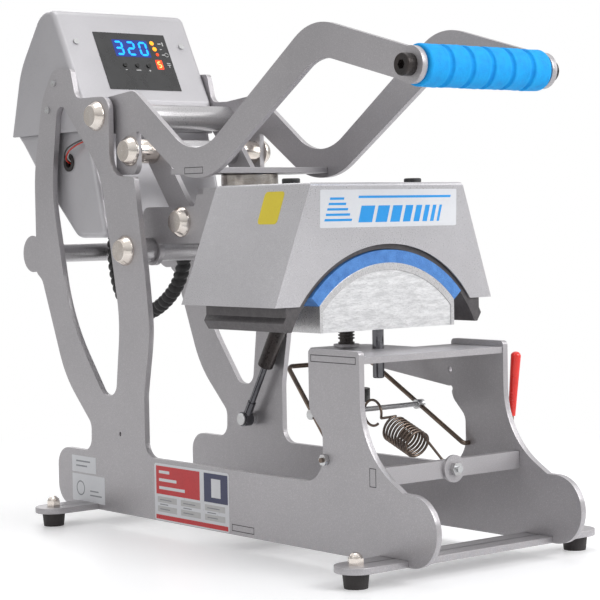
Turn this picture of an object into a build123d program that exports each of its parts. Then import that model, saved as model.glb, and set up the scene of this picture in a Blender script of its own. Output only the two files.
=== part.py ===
from build123d import *
from math import atan2, cos, degrees, hypot, pi, radians, sin, sqrt, tan
import os

os.makedirs("parts", exist_ok=True)

# Clamshell cap press. Millimetres; +Z up, -Y the front, +X to the operator's right.
# The origin is on the bench, midway between the feet and midway along the machine.

# ---------------------------------------------------------------- fits
running_clearance = 0.05
slot_clearance = 0.2
face_gap = 0.3

# ---------------------------------------------------------------- widths, from the middle outwards
frame_inner_half = 87.0
frame_thick = 6.0
frame_outer_half = frame_inner_half + frame_thick
handle_side_gap = 4.0
handle_thick = 6.0
handle_outer_half = frame_inner_half - handle_side_gap
handle_inner_half = handle_outer_half - handle_thick
arm_inner_half = 55.0
arm_thick = 6.0
arm_outer_half = arm_inner_half + arm_thick
link_gap = 0.5
link_thick = 6.0
link_outer_half = arm_inner_half - link_gap
link_inner_half = link_outer_half - link_thick

# ---------------------------------------------------------------- pivots, as (y, z)
handle_pivot = (168.0, 427.0)
knee_pivot = (122.0, 389.0)
arm_pivot = (120.0, 287.0)
link_pivot = (65.5, 315.5)
grip_axis = (-303.0, 447.5)
bail_pivot = (-194.0, 98.5)
strut_foot = (143.0, 99.0)
strut_top = (19.6, 305.0)

# ---------------------------------------------------------------- shafts and caps
shaft_radius = 8.0
pin_radius = 7.0
cap_rim_radius = 15.6
cap_face_radius = 10.5
cap_rim_height = 2.0
cap_height = 9.5
spacer_radius = 12.5
torque_tube_radius = 13.5
arm_tube_radius = 12.0
knee_tube_radius = 12.0
plain_washer_radius = 12.0

# ---------------------------------------------------------------- feet and base plates
foot_height = 14.0
foot_top_radius = 12.0
foot_bottom_radius = 10.5
foot_half_spacing = 137.0
front_foot_y = -284.0
rear_foot_y = 199.0
foot_plate_thick = 6.0
foot_plate_width = 38.0
foot_stud_radius = 4.0
foot_stud_start = 4.0
acorn_flat_radius = 7.4
acorn_base_height = 6.0
acorn_neck_height = 2.2
acorn_dome_radius = 5.9
base_bottom = foot_height
foot_plate_top = foot_height + foot_plate_thick
mid_plate_front = -92.0
mid_plate_rear = -30.0
mid_plate_bottom = 18.0
mid_plate_thick = 6.0
mid_tab_front = -86.0
mid_tab_rear = -52.0

# ---------------------------------------------------------------- side plate outline, as (y, z), and its corner radii
tower_front = -242.0
tower_rear = -171.5
tower_top = 198.5
base_top = 76.5
front_lobe_radius = 32.0
frame_outline = [
    (-339.0, base_bottom), (-339.0, 77.7), (-297.0, 77.7), (tower_front, 109.5), (tower_front, tower_top),
    (tower_rear, tower_top), (tower_rear, 142.0), (-190.0, 124.0), (-190.0, base_top), (92.0, base_top),
    (92.0, 140.0), (79.5, 205.0), (86.0, 262.0), (102.5, 362.0), (146.0, 364.5), (146.0, 446.5),
    (208.0, 447.5), (217.0, 479.5), (252.0, 480.5), (274.0, 450.0), (293.0, 372.0), (293.0, 262.0),
    (282.0, 255.0), (240.0, 152.0), (190.5, 104.0), (191.5, 75.0), (257.5, 75.0), (257.5, base_bottom),
]
frame_outline_radii = [
    front_lobe_radius - 0.5, front_lobe_radius - 0.5, 5.0, 80.0, 4.0,
    4.0, 16.0, 14.0, 26.0, 16.0,
    60.0, 120.0, 300.0, 4.0, 22.0, 14.0,
    12.0, 5.0, 14.0, 60.0, 180.0, 6.0,
    18.0, 120.0, 14.0, 14.0, 20.0, 22.0,
]
window_outline = [
    (143.0, 136.0), (167.0, 136.0), (229.0, 214.0), (259.0, 350.0), (243.0, 452.0), (163.0, 368.0), (133.0, 215.0),
]
window_radii = [13.0, 14.0, 200.0, 150.0, 10.0, 90.0, 150.0]
rear_boss = (300.0, 283.0)
rear_boss_radius = 20.0
rear_tube_radius = 10.0
frame_hole = (137.0, 97.0)
frame_hole_radius = 2.2

# ---------------------------------------------------------------- plates across the towers
support_bottom = 187.0
support_thick = 6.0
support_top = support_bottom + support_thick
support_front = -241.0
support_rear = -172.5
support_tab_front = -237.0
support_tab_rear = -175.0
tongue_half = 38.0
tongue_rear = -99.0
tongue_corner = 14.0
crossbar_front = -262.0
crossbar_rear = -254.0
crossbar_bottom = 79.8
crossbar_top = 96.0
crossbar_boss_radius = 12.5
crossbar_boss_thick = 3.0
crossbar_screw_radius = 3.0
horn_rear = -58.0
horn_bottom = 151.0
horn_tip_bottom = 166.0
horn_top = 185.5
horn_hole = (-169.0, 168.0)
horn_notch = (-169.5, 149.5)
horn_hole_radius = 3.0

# ---------------------------------------------------------------- lower platen
platen_axis_z = 160.0
platen_front = -179.0
platen_rear = -65.0
platen_bottom = 212.0
shoe_outer_radius = 114.4
shoe_wall = 6.9
shoe_side_wall = 4.0
shoe_half_width = 84.5
pad_outer_radius = 126.5
pad_half_angle = 48.0
screw_y = -117.0
screw_radius = 8.0
screw_core_radius = 6.6
screw_pitch = 3.0
screw_bottom = 136.0
screw_socket_depth = 8.0
screw_nut_radius = 12.5
screw_nut_height = 2.6
guide_pin_y = -163.0
guide_pin_radius = 5.5
guide_pin_bottom = 165.0
knob_radius = 22.0
knob_bottom = 140.0
knob_height = 12.5
knob_lobes = 8
knob_lobe_radius = 3.4

# ---------------------------------------------------------------- head
head_front_top = -182.0
head_front_bottom = -178.0
head_rear_top = -40.0
head_rear_bottom = -35.0
cover_bottom = 237.0
cover_top = 349.5
cover_half_top = 94.7
cover_half_bottom = 135.8
cover_sheet = 2.0
cover_arch_radius = 132.0
arm_slot_gap = 0.8
casting_front = -175.7
casting_rear = -55.0
casting_bottom = 214.0
casting_shoulder = 240.0
casting_half_width = 121.5
pressing_gap = 0.5
casting_arc_radius = pad_outer_radius + pressing_gap
casting_wall = 12.0
casting_outer_radius = casting_arc_radius + casting_wall
casting_shoulder_angle = 38.0
casting_chamfer = 9.0
arm_bottom = 296.0
arm_top = 331.0
arm_rear = 134.0
arm_front = -150.0
arm_heel = 20.0
arm_heel_drop = 3.0
arm_step_y = 44.0
bridge_bottom = 343.0
bridge_thick = 6.0
bridge_front = -5.0
bridge_rear = 62.0
bridge_shoulder = 31.0
bridge_tongue_half = 44.0
magnet_y = 30.0
magnet_radius = 29.0
magnet_base_radius = 24.0
strike_bottom = 363.0
strike_thick = 6.0
strike_front = -2.0
strike_rear = 60.0
strike_tab_rear = 28.0
plug_x = 76.7
plug_y = -131.0
plug_radius = 8.5
plug_height = 5.0
plug_stem_radius = 3.0
standoff_radius = 2.8
standoff_ys = (-131.0, -66.0)
mount_block_front = -140.0
mount_block_rear = -70.0
mount_block_width = 8.0
mount_block_top = 325.0

# ---------------------------------------------------------------- handle
handle_outline = [
    (168.0, 446.0), (113.7, 451.0), (9.6, 375.0), (-171.8, 499.9), (grip_axis[0], 463.0),
    (grip_axis[0], 432.0), (-181.4, 465.1), (7.9, 342.2), (106.0, 408.4), (168.0, 408.0),
]
handle_outline_radii = [0.0, 20.0, 59.0, 62.0, 0.0, 0.0, 44.0, 82.0, 6.0, 0.0]
handle_end_radius = 16.5
handle_lobe_radius = 19.0
ear_front = 110.5
ear_rear = 148.0
ear_bottom = 365.0
ear_corner = 10.0
grip_rod_radius = 9.0
grip_rod_wall = 3.0
grip_bolt_depth = 18.0
foam_radius = 19.0
foam_groove_depth = 2.2
foam_groove_radius = 2.4
foam_segments = 6
grip_washer_radius = 14.0
grip_washer_thick = 2.0
grip_bolt_radius = 10.0
grip_bolt_head = 10.0
grip_socket_radius = 4.5
grip_socket_depth = 5.0
link_lobe_radius = 14.5

# ---------------------------------------------------------------- gas strut
strut_x = frame_inner_half - 10.5
strut_rod_radius = 3.5
strut_tube_radius = 8.5
strut_tube_wall = 1.5
strut_rod_shown = 70.0
strut_rod_inside = 60.0
strut_eye_radius = 8.0
strut_ball_radius = 4.6
strut_stud_radius = 4.0
strut_free_play = 3.4
strut_eye_wall = 2.4
socket_length = 22.0

# ---------------------------------------------------------------- cap hold-down bail
bail_wire_radius = 2.25
bail_foot_half = frame_inner_half - 7.0
bail_top_half = 52.0
bail_top = (-91.0, 175.5)
bail_bend = 8.0
anchor_y = -146.0
anchor_radius = 2.4
anchor_collar_radius = 4.6
anchor_collar_length = 9.0
lever_x = frame_outer_half + 10.5
lever_knee = (-235.0, 117.0)
lever_tip = (-242.5, 184.0)
lever_grip_radius = 5.0
lever_grip_foot_radius = 3.5
lever_grip_length = 58.0
lever_grip_crown = 3.5
bail_nut_radius = 5.5
bail_nut_thick = 5.0
spring_wire_radius = 1.25
spring_mean_radius = 12.3
spring_turns = 9
spring_coil_length = 37.0
spring_hook_gap = 3.0

# ---------------------------------------------------------------- control box
datum_y = 6.0
box_half = frame_inner_half - face_gap
box_sheet = 2.0
box_edge_radius = 6.0
box_seam_height = 414.0
box_foot = (208.0, 448.0)
box_brow = (259.5, 546.5)
box_seam = (351.0, box_seam_height)
box_chin = (204.0, box_seam_height)
shell_outline = [box_chin, box_foot, box_brow, (286.0, 546.5), (331.0, 487.0), box_seam]
shell_radii = [0.0, 6.0, 12.0, 28.0, 90.0, 0.0]
tray_inset = 5.7
tray_half = box_half - tray_inset
tray_sheet = 1.5
tray_edge_radius = 6.0
tray_lip = (204.5, box_seam_height)
tray_front_low = (174.0, 300.0)
tray_slope_low = (230.0, 300.0)
tray_slope_high = (302.0, 365.0)
tray_rear_knee = (336.0, 402.0)
tray_corner_radii = [0.0, 8.0, 20.0, 10.0, 8.0, 0.0]
tray_ear_width = 18.0
tray_ear_rise = 10.0
box_screw_spots = [(249.0, 466.0), (262.0, 438.0)]
box_screw_radius = 2.0
box_screw_head_radius = 3.7
box_screw_head_height = 2.2
panel_centre_x = 3.0
panel_centre_up = 49.0
panel_width = 94.0
panel_height = 72.0
panel_stand = 0.6
panel_post_radius = 2.0
panel_post_length = 1.4
board_thick = 1.6
button_xs = (-15.0, 1.0, 16.0)
button_up = 43.8
button_radius = 2.6
button_stand = 1.4
button_travel = 0.8
face_screw_x = 69.5
face_screw_up = 71.0
face_screw_radius = 3.4
face_screw_height = 2.0
grommet_spot = (241.0, 381.0)
grommet_radius = 8.0
grommet_bore = 5.5
control_board_width = 110.0
control_board_length = 56.0
board_foot_height = 6.0
board_foot_radius = 2.5
board_shift = 5.0
board_foot_inset = (5.0, 11.0)
inlet_x = 32.0
inlet_width = 30.0
inlet_height = 24.0
switch_x = -32.0
switch_width = 22.0
switch_height = 14.0
panel_fitting_depth = 20.0

# ---------------------------------------------------------------- wiring loom, as (y, z) in the middle of the machine
loom_radius = 7.3
loom_gland_radius = 11.0
loom_gland_stem = 8.8
head_gland_face = (-22.0, 313.0)
loom_seat_gap = 0.3
loom_route = [
    (267.4, 323.0), (279.3, 309.8), (279.0, 262.0), (262.0, 226.0), (224.0, 212.0), (182.0, 228.0),
    (150.0, 256.0), (141.0, 303.0), (112.0, 326.0), (62.0, 325.0), (16.0, 313.0),
    (head_gland_face[0] + loom_seat_gap, head_gland_face[1]),
]
gland_wall_gap = 0.8
gland_stem_reach = 5.0
gland_nut_thick = 4.0
loom_wall = 2.0


# ---------------------------------------------------------------- drawing planes and small helpers
def at(x, y, z):
    """A point of the drawing in the part's own frame."""
    return (x, y - datum_y, z)


def side_view(x):
    """Local x is the machine's Y and local y its Z; an extrusion goes to +X."""
    return Plane(origin=at(x, 0, 0), x_dir=(0, 1, 0), z_dir=(1, 0, 0))


def level(z):
    """Local axes are the machine's X and Y; an extrusion goes up."""
    return Plane(origin=at(0, 0, z), x_dir=(1, 0, 0), z_dir=(0, 0, 1))


def front_view(y):
    """Local axes are the machine's X and Z; an extrusion goes towards the front."""
    return Plane(origin=at(0, y, 0), x_dir=(1, 0, 0), z_dir=(0, -1, 0))


def slab_start(side, inner, thick):
    """Where a plate's +X extrusion starts, for a plate that stands inner from the middle."""
    return inner if side > 0 else -(inner + thick)


def middle(a, b):
    return (a + b) / 2


def lever_length(a, b):
    return hypot(b[0] - a[0], b[1] - a[1])


frame_span = 2 * frame_outer_half
stand_up = (Align.CENTER, Align.CENTER, Align.MIN)
sides = ((-1, "left"), (1, "right"))

# ---------------------------------------------------------------- side plates
for side, side_name in sides:
    with BuildPart() as side_plate:
        with BuildSketch(side_view(slab_start(side, frame_inner_half, frame_thick))):
            with BuildLine():
                FilletPolyline(*frame_outline, radius=frame_outline_radii, close=True)
            make_face()
            with Locations(rear_boss):
                Circle(rear_boss_radius)
            if side > 0:
                with BuildLine():
                    FilletPolyline(
                        (tower_rear - 4, horn_bottom), (horn_rear, horn_tip_bottom),
                        (horn_rear, horn_top), (tower_rear - 4, horn_top),
                        radius=[0, 8, 8, 0], close=True,
                    )
                make_face()
                with Locations(horn_hole, horn_notch):
                    Circle(horn_hole_radius, mode=Mode.SUBTRACT)
                with Locations(strut_foot):
                    Circle(strut_stud_radius + running_clearance, mode=Mode.SUBTRACT)
            else:
                with Locations(frame_hole):
                    Circle(frame_hole_radius, mode=Mode.SUBTRACT)
            with BuildLine():
                FilletPolyline(*window_outline, radius=window_radii, close=True)
            make_face(mode=Mode.SUBTRACT)
            with Locations(handle_pivot, arm_pivot):
                Circle(shaft_radius + running_clearance, mode=Mode.SUBTRACT)
            with Locations(bail_pivot):
                Circle(bail_wire_radius + running_clearance, mode=Mode.SUBTRACT)
            with Locations(*box_screw_spots):
                Circle(box_screw_radius + running_clearance, mode=Mode.SUBTRACT)
            for foot_y in (front_foot_y, rear_foot_y):
                with Locations((foot_y, foot_height + foot_plate_thick / 2)):
                    Rectangle(foot_plate_width + 2 * slot_clearance, foot_plate_thick + 2 * slot_clearance,
                              mode=Mode.SUBTRACT)
            with Locations((middle(mid_tab_front, mid_tab_rear), mid_plate_bottom + mid_plate_thick / 2)):
                Rectangle(mid_tab_rear - mid_tab_front + 2 * slot_clearance, mid_plate_thick + 2 * slot_clearance,
                          mode=Mode.SUBTRACT)
            with Locations((middle(support_tab_front, support_tab_rear), support_bottom + support_thick / 2)):
                Rectangle(support_tab_rear - support_tab_front + 2 * slot_clearance,
                          support_thick + 2 * slot_clearance, mode=Mode.SUBTRACT)
            with Locations((middle(crossbar_front, crossbar_rear), middle(crossbar_bottom, crossbar_top))):
                Rectangle(crossbar_rear - crossbar_front + 2 * slot_clearance,
                          crossbar_top - crossbar_bottom + 2 * slot_clearance, mode=Mode.SUBTRACT)
        extrude(amount=frame_thick)
    side_plate.part.label = f"side_plate_{side_name}"
    export_step(side_plate.part, f"parts/side_plate_{side_name}.step")

# ---------------------------------------------------------------- foot plates, feet, studs and acorn nuts
with BuildPart() as foot_plates:
    with BuildSketch(level(foot_height)):
        for foot_y in (front_foot_y, rear_foot_y):
            with Locations((0, foot_y)):
                SlotCenterToCenter(2 * foot_half_spacing, foot_plate_width)
            with Locations((-foot_half_spacing, foot_y), (foot_half_spacing, foot_y)):
                Circle(foot_stud_radius + running_clearance, mode=Mode.SUBTRACT)
    extrude(amount=foot_plate_thick)
foot_plates.part.label = "foot_plates"
export_step(foot_plates.part, "parts/foot_plates.step")

foot_spots = [(x, y) for x in (-foot_half_spacing, foot_half_spacing) for y in (front_foot_y, rear_foot_y)]

with BuildPart() as rubber_feet:
    for x, y in foot_spots:
        with Locations(at(x, y, foot_height / 2)):
            Cone(foot_bottom_radius, foot_top_radius, foot_height)
    with BuildSketch(level(foot_stud_start)):
        with Locations(*foot_spots):
            Circle(foot_stud_radius + running_clearance)
    extrude(amount=foot_height - foot_stud_start, mode=Mode.SUBTRACT)
rubber_feet.part.label = "rubber_feet"
export_step(rubber_feet.part, "parts/rubber_feet.step")

with BuildPart() as foot_bolts:
    with BuildSketch(level(foot_stud_start)):
        with Locations(*foot_spots):
            Circle(foot_stud_radius)
    extrude(amount=foot_plate_top - foot_stud_start)
    with BuildSketch(level(foot_plate_top)):
        with Locations(*foot_spots):
            RegularPolygon(acorn_flat_radius, 6)
    extrude(amount=acorn_base_height)
    for x, y in foot_spots:
        with Locations(at(x, y, foot_plate_top + acorn_base_height)):
            Cylinder(acorn_dome_radius, acorn_neck_height, align=stand_up)
        with Locations(at(x, y, foot_plate_top + acorn_base_height + acorn_neck_height)):
            Sphere(acorn_dome_radius, arc_size1=0)
foot_bolts.part.label = "foot_acorn_bolts"
export_step(foot_bolts.part, "parts/foot_acorn_bolts.step")

# ---------------------------------------------------------------- plates between the side plates
with BuildPart() as mid_plate:
    with BuildSketch(level(mid_plate_bottom)):
        with Locations((0, middle(mid_plate_front, mid_plate_rear))):
            Rectangle(2 * frame_inner_half, mid_plate_rear - mid_plate_front)
        with Locations((0, middle(mid_tab_front, mid_tab_rear))):
            Rectangle(frame_span, mid_tab_rear - mid_tab_front)
    extrude(amount=mid_plate_thick)
mid_plate.part.label = "mid_cross_plate"
export_step(mid_plate.part, "parts/mid_cross_plate.step")

with BuildPart() as support_plate:
    with BuildSketch(level(support_bottom)):
        with Locations((0, middle(support_front, support_rear))):
            Rectangle(2 * frame_inner_half, support_rear - support_front)
        with Locations((0, middle(support_tab_front, support_tab_rear))):
            Rectangle(frame_span, support_tab_rear - support_tab_front)
        with Locations((0, middle(support_rear, tongue_rear))):
            Rectangle(2 * tongue_half, tongue_rear - support_rear)
        with Locations((0, screw_y)):
            Circle(screw_radius + running_clearance, mode=Mode.SUBTRACT)
        with Locations((0, guide_pin_y)):
            Circle(guide_pin_radius + running_clearance, mode=Mode.SUBTRACT)
    extrude(amount=support_thick)
    fillet(support_plate.edges().filter_by(Axis.Z).group_by(Axis.Y)[-1], radius=tongue_corner)
    with BuildSketch(level(support_top)):
        with Locations((0, screw_y)):
            Circle(screw_nut_radius)
            Circle(screw_radius + running_clearance, mode=Mode.SUBTRACT)
    extrude(amount=screw_nut_height)
support_plate.part.label = "platen_support_plate"
export_step(support_plate.part, "parts/platen_support_plate.step")

crossbar_mid = middle(crossbar_bottom, crossbar_top)
with BuildPart() as crossbar:
    with BuildSketch(front_view(crossbar_rear)):
        with Locations((0, crossbar_mid)):
            Rectangle(frame_span, crossbar_top - crossbar_bottom)
            Circle(crossbar_screw_radius + running_clearance, mode=Mode.SUBTRACT)
    extrude(amount=crossbar_rear - crossbar_front)
    with BuildSketch(front_view(crossbar_front)):
        with Locations((0, crossbar_mid)):
            Circle(crossbar_boss_radius)
            Circle(crossbar_screw_radius + running_clearance, mode=Mode.SUBTRACT)
    extrude(amount=crossbar_boss_thick)
crossbar.part.label = "front_crossbar"
export_step(crossbar.part, "parts/front_crossbar.step")

crossbar_stud_rear = crossbar_rear + 9.0
with BuildPart() as crossbar_screw:
    with BuildSketch(front_view(crossbar_stud_rear)):
        with Locations((0, crossbar_mid)):
            Circle(crossbar_screw_radius)
    extrude(amount=crossbar_stud_rear - crossbar_front + crossbar_boss_thick)
    with BuildSketch(front_view(crossbar_front - crossbar_boss_thick)):
        with Locations((0, crossbar_mid)):
            RegularPolygon(6.4, 6)
    extrude(amount=4.5)
    with BuildSketch(front_view(crossbar_front - crossbar_boss_thick - 4.5)):
        with Locations((0, crossbar_mid)):
            Circle(crossbar_screw_radius)
    extrude(amount=3.0)
    with BuildSketch(front_view(crossbar_stud_rear)):
        with Locations((0, crossbar_mid)):
            Circle(5.0)
    extrude(amount=2.0)
crossbar_screw.part.label = "crossbar_screw"
export_step(crossbar_screw.part, "parts/crossbar_screw.step")

with BuildPart() as rear_tube:
    with BuildSketch(side_view(-frame_inner_half)):
        with Locations(rear_boss):
            Circle(rear_tube_radius)
            Circle(rear_tube_radius - 2, mode=Mode.SUBTRACT)
    extrude(amount=2 * frame_inner_half)
rear_tube.part.label = "rear_cross_tube"
export_step(rear_tube.part, "parts/rear_cross_tube.step")

# ---------------------------------------------------------------- pivot bolts with domed caps, and their spacers


def domed_cap(pivot, seat):
    """A cap with its flat seat at seat from the middle, on the right side."""
    with Locations(Plane(origin=at(seat, *pivot), z_dir=(1, 0, 0))):
        Cylinder(cap_rim_radius, cap_rim_height, align=stand_up)
    with Locations(Plane(origin=at(seat + cap_rim_height, *pivot), z_dir=(1, 0, 0))):
        Cone(cap_rim_radius, cap_face_radius, cap_height - cap_rim_height, align=stand_up)


def side_pin(pivot, radius, inner, outer):
    """A round bar on the right side, from inner to outer."""
    with Locations(Plane(origin=at(inner, *pivot), z_dir=(1, 0, 0))):
        Cylinder(radius, outer - inner, align=stand_up)


with BuildPart() as pivot_bolts:
    for pivot in (handle_pivot, arm_pivot):
        side_pin(pivot, shaft_radius, 0, frame_outer_half)
        domed_cap(pivot, frame_outer_half)
    mirror(about=Plane.YZ)
pivot_bolts.part.label = "frame_pivot_bolts"
export_step(pivot_bolts.part, "parts/frame_pivot_bolts.step")

with BuildPart() as pivot_spacers:
    with BuildSketch(side_view(handle_outer_half + face_gap)):
        with Locations(handle_pivot):
            Circle(plain_washer_radius)
            Circle(shaft_radius + running_clearance, mode=Mode.SUBTRACT)
    extrude(amount=frame_inner_half - handle_outer_half - face_gap)
    with BuildSketch(side_view(arm_outer_half + face_gap)):
        with Locations(arm_pivot):
            Circle(spacer_radius)
            Circle(shaft_radius + running_clearance, mode=Mode.SUBTRACT)
    extrude(amount=frame_inner_half - arm_outer_half - face_gap)
    mirror(about=Plane.YZ)
pivot_spacers.part.label = "pivot_spacers"
export_step(pivot_spacers.part, "parts/pivot_spacers.step")

# ---------------------------------------------------------------- handle
for side, side_name in sides:
    with BuildPart() as handle_plate:
        with BuildSketch(side_view(slab_start(side, handle_inner_half, handle_thick))):
            with BuildLine():
                FilletPolyline(*handle_outline, radius=handle_outline_radii, close=True)
            make_face()
            with Locations(grip_axis):
                Circle(handle_end_radius)
            with Locations(handle_pivot):
                Circle(handle_lobe_radius)
            with Locations((middle(ear_front, ear_rear), middle(ear_bottom, handle_pivot[1]))):
                RectangleRounded(ear_rear - ear_front, handle_pivot[1] - ear_bottom, ear_corner)
            with Locations(handle_pivot):
                Circle(shaft_radius + running_clearance, mode=Mode.SUBTRACT)
            with Locations(knee_pivot):
                Circle(pin_radius + running_clearance, mode=Mode.SUBTRACT)
            with Locations(grip_axis):
                Circle(grip_rod_radius - grip_rod_wall, mode=Mode.SUBTRACT)
            with Locations((middle(strike_front, strike_tab_rear), strike_bottom + strike_thick / 2)):
                Rectangle(strike_tab_rear - strike_front + 2 * slot_clearance,
                          strike_thick + 2 * slot_clearance, mode=Mode.SUBTRACT)
        extrude(amount=handle_thick)
    handle_plate.part.label = f"handle_plate_{side_name}"
    export_step(handle_plate.part, f"parts/handle_plate_{side_name}.step")

with BuildPart() as torque_tube:
    with BuildSketch(side_view(-handle_inner_half)):
        with Locations(handle_pivot):
            Circle(torque_tube_radius)
            Circle(shaft_radius + running_clearance, mode=Mode.SUBTRACT)
    extrude(amount=2 * handle_inner_half)
torque_tube.part.label = "handle_torque_tube"
export_step(torque_tube.part, "parts/handle_torque_tube.step")

with BuildPart() as strike_plate:
    with BuildSketch(level(strike_bottom)):
        with Locations((0, middle(strike_front, strike_rear))):
            Rectangle(2 * handle_inner_half, strike_rear - strike_front)
        with Locations((0, middle(strike_front, strike_tab_rear))):
            Rectangle(2 * handle_outer_half, strike_tab_rear - strike_front)
    extrude(amount=strike_thick)
strike_plate.part.label = "strike_plate"
export_step(strike_plate.part, "parts/strike_plate.step")

with BuildPart() as knee_bolts:
    side_pin(knee_pivot, pin_radius, arm_inner_half, handle_outer_half)
    side_pin(knee_pivot, spacer_radius, arm_inner_half, handle_inner_half)
    domed_cap(knee_pivot, handle_outer_half)
    mirror(about=Plane.YZ)
knee_bolts.part.label = "knee_bolts"
export_step(knee_bolts.part, "parts/knee_bolts.step")

grip_half = handle_inner_half - grip_washer_thick
grip_bore = grip_rod_radius - grip_rod_wall
with BuildPart() as grip_rod:
    with BuildSketch(side_view(-handle_inner_half)):
        with Locations(grip_axis):
            Circle(grip_rod_radius)
    extrude(amount=2 * handle_inner_half)
    for start in (-handle_inner_half, grip_half):
        with BuildSketch(side_view(start)):
            with Locations(grip_axis):
                Circle(grip_washer_radius)
        extrude(amount=grip_washer_thick)
    with BuildSketch(side_view(-handle_inner_half)):
        with Locations(grip_axis):
            Circle(grip_bore)
    extrude(amount=2 * handle_inner_half, mode=Mode.SUBTRACT)
grip_rod.part.label = "grip_rod"
export_step(grip_rod.part, "parts/grip_rod.step")

with BuildPart() as foam_grip:
    with BuildSketch(side_view(-grip_half)):
        with Locations(grip_axis):
            Circle(foam_radius)
            Circle(grip_rod_radius + running_clearance, mode=Mode.SUBTRACT)
    extrude(amount=2 * grip_half)
    groove_pitch = 2 * grip_half / foam_segments
    groove_ring = foam_radius + foam_groove_radius - foam_groove_depth
    for index in range(1, foam_segments):
        with Locations(Plane(origin=at(-grip_half + index * groove_pitch, *grip_axis), z_dir=(1, 0, 0))):
            Torus(groove_ring, foam_groove_radius, mode=Mode.SUBTRACT)
foam_grip.part.label = "foam_grip"
export_step(foam_grip.part, "parts/foam_grip.step")

with BuildPart() as grip_bolts:
    side_pin(grip_axis, grip_bore - running_clearance, handle_inner_half - grip_bolt_depth, handle_outer_half)
    with BuildSketch(side_view(handle_outer_half)):
        with Locations(grip_axis):
            Circle(grip_bolt_radius)
    extrude(amount=grip_bolt_head)
    fillet(grip_bolts.edges().filter_by(GeomType.CIRCLE).sort_by(Axis.X)[-1], radius=1.2)
    with BuildSketch(side_view(handle_outer_half + grip_bolt_head)):
        with Locations(grip_axis):
            RegularPolygon(grip_socket_radius, 6)
    extrude(amount=-grip_socket_depth, mode=Mode.SUBTRACT)
    mirror(about=Plane.YZ)
grip_bolts.part.label = "grip_bolts"
export_step(grip_bolts.part, "parts/grip_bolts.step")

# ---------------------------------------------------------------- toggle links
link_length = lever_length(link_pivot, knee_pivot)
link_angle = degrees(atan2(knee_pivot[1] - link_pivot[1], knee_pivot[0] - link_pivot[0]))
link_centre = (middle(link_pivot[0], knee_pivot[0]), middle(link_pivot[1], knee_pivot[1]))
with BuildPart() as toggle_links:
    with BuildSketch(side_view(link_inner_half)):
        with Locations(link_centre):
            SlotCenterToCenter(link_length, 2 * link_lobe_radius, rotation=link_angle)
        with Locations(link_pivot):
            Circle(pin_radius + running_clearance, mode=Mode.SUBTRACT)
    extrude(amount=link_thick)
    mirror(about=Plane.YZ)
toggle_links.part.label = "toggle_links"
export_step(toggle_links.part, "parts/toggle_links.step")

with BuildPart() as knee_tube:
    with BuildSketch(side_view(-link_inner_half)):
        with Locations(knee_pivot):
            Circle(knee_tube_radius)
            Circle(pin_radius, mode=Mode.SUBTRACT)
    extrude(amount=2 * link_inner_half)
knee_tube.part.label = "knee_tube"
export_step(knee_tube.part, "parts/knee_tube.step")

# ---------------------------------------------------------------- head arms and what joins them
bridge_seat_front = bridge_front - 3.0
for side, side_name in sides:
    with BuildPart() as arm_plate:
        with BuildSketch(side_view(slab_start(side, arm_inner_half, arm_thick))):
            with BuildLine():
                FilletPolyline(
                    (arm_front, arm_bottom), (arm_pivot[0] - arm_heel, arm_bottom - arm_heel_drop),
                    (arm_rear, arm_bottom - arm_heel_drop),
                    (arm_rear, arm_top), (arm_step_y, arm_top), (arm_step_y - 6, bridge_bottom),
                    (bridge_seat_front, bridge_bottom), (bridge_seat_front - 6, arm_top), (arm_front, arm_top),
                    radius=[6, 3, 3, 10, 3, 2, 2, 3, 6], close=True,
                )
            make_face()
            with Locations(arm_pivot):
                Circle(arm_rear - arm_pivot[0] + 2)
            with Locations(arm_pivot):
                Circle(shaft_radius + running_clearance, mode=Mode.SUBTRACT)
            with Locations(link_pivot):
                Circle(pin_radius + running_clearance, mode=Mode.SUBTRACT)
            if side > 0:
                with Locations(strut_top):
                    Circle(strut_stud_radius + running_clearance, mode=Mode.SUBTRACT)
        extrude(amount=arm_thick)
    arm_plate.part.label = f"head_arm_{side_name}"
    export_step(arm_plate.part, f"parts/head_arm_{side_name}.step")

with BuildPart() as arm_tube:
    with BuildSketch(side_view(-arm_inner_half)):
        with Locations(arm_pivot):
            Circle(arm_tube_radius)
            Circle(shaft_radius + running_clearance, mode=Mode.SUBTRACT)
    extrude(amount=2 * arm_inner_half)
arm_tube.part.label = "arm_pivot_tube"
export_step(arm_tube.part, "parts/arm_pivot_tube.step")

with BuildPart() as link_bolts:
    side_pin(link_pivot, pin_radius, link_inner_half, arm_outer_half)
    domed_cap(link_pivot, arm_outer_half)
    mirror(about=Plane.YZ)
link_bolts.part.label = "link_bolts"
export_step(link_bolts.part, "parts/link_bolts.step")

with BuildPart() as bridge:
    with BuildSketch(level(bridge_bottom)):
        with Locations((0, middle(bridge_front, bridge_shoulder))):
            Rectangle(2 * arm_outer_half, bridge_shoulder - bridge_front)
        with Locations((0, middle(bridge_front, bridge_rear))):
            Rectangle(2 * bridge_tongue_half, bridge_rear - bridge_front)
    extrude(amount=bridge_thick)
    fillet(bridge.edges().filter_by(Axis.Z), radius=4)
bridge.part.label = "magnet_bridge"
export_step(bridge.part, "parts/magnet_bridge.step")

bridge_top = bridge_bottom + bridge_thick
magnet_top = strike_bottom - face_gap
with BuildPart() as magnet:
    with BuildSketch(level(bridge_top)):
        with Locations((0, magnet_y)):
            Circle(magnet_base_radius)
    extrude(amount=2.0)
    with BuildSketch(level(bridge_top + 2.0)):
        with Locations((0, magnet_y)):
            Circle(magnet_radius)
    extrude(amount=magnet_top - bridge_top - 2.0)
    fillet(magnet.edges().filter_by(GeomType.CIRCLE).sort_by(Axis.Z)[-1], radius=1.0)
magnet.part.label = "electromagnet"
export_step(magnet.part, "parts/electromagnet.step")

loom_end = head_gland_face


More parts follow.
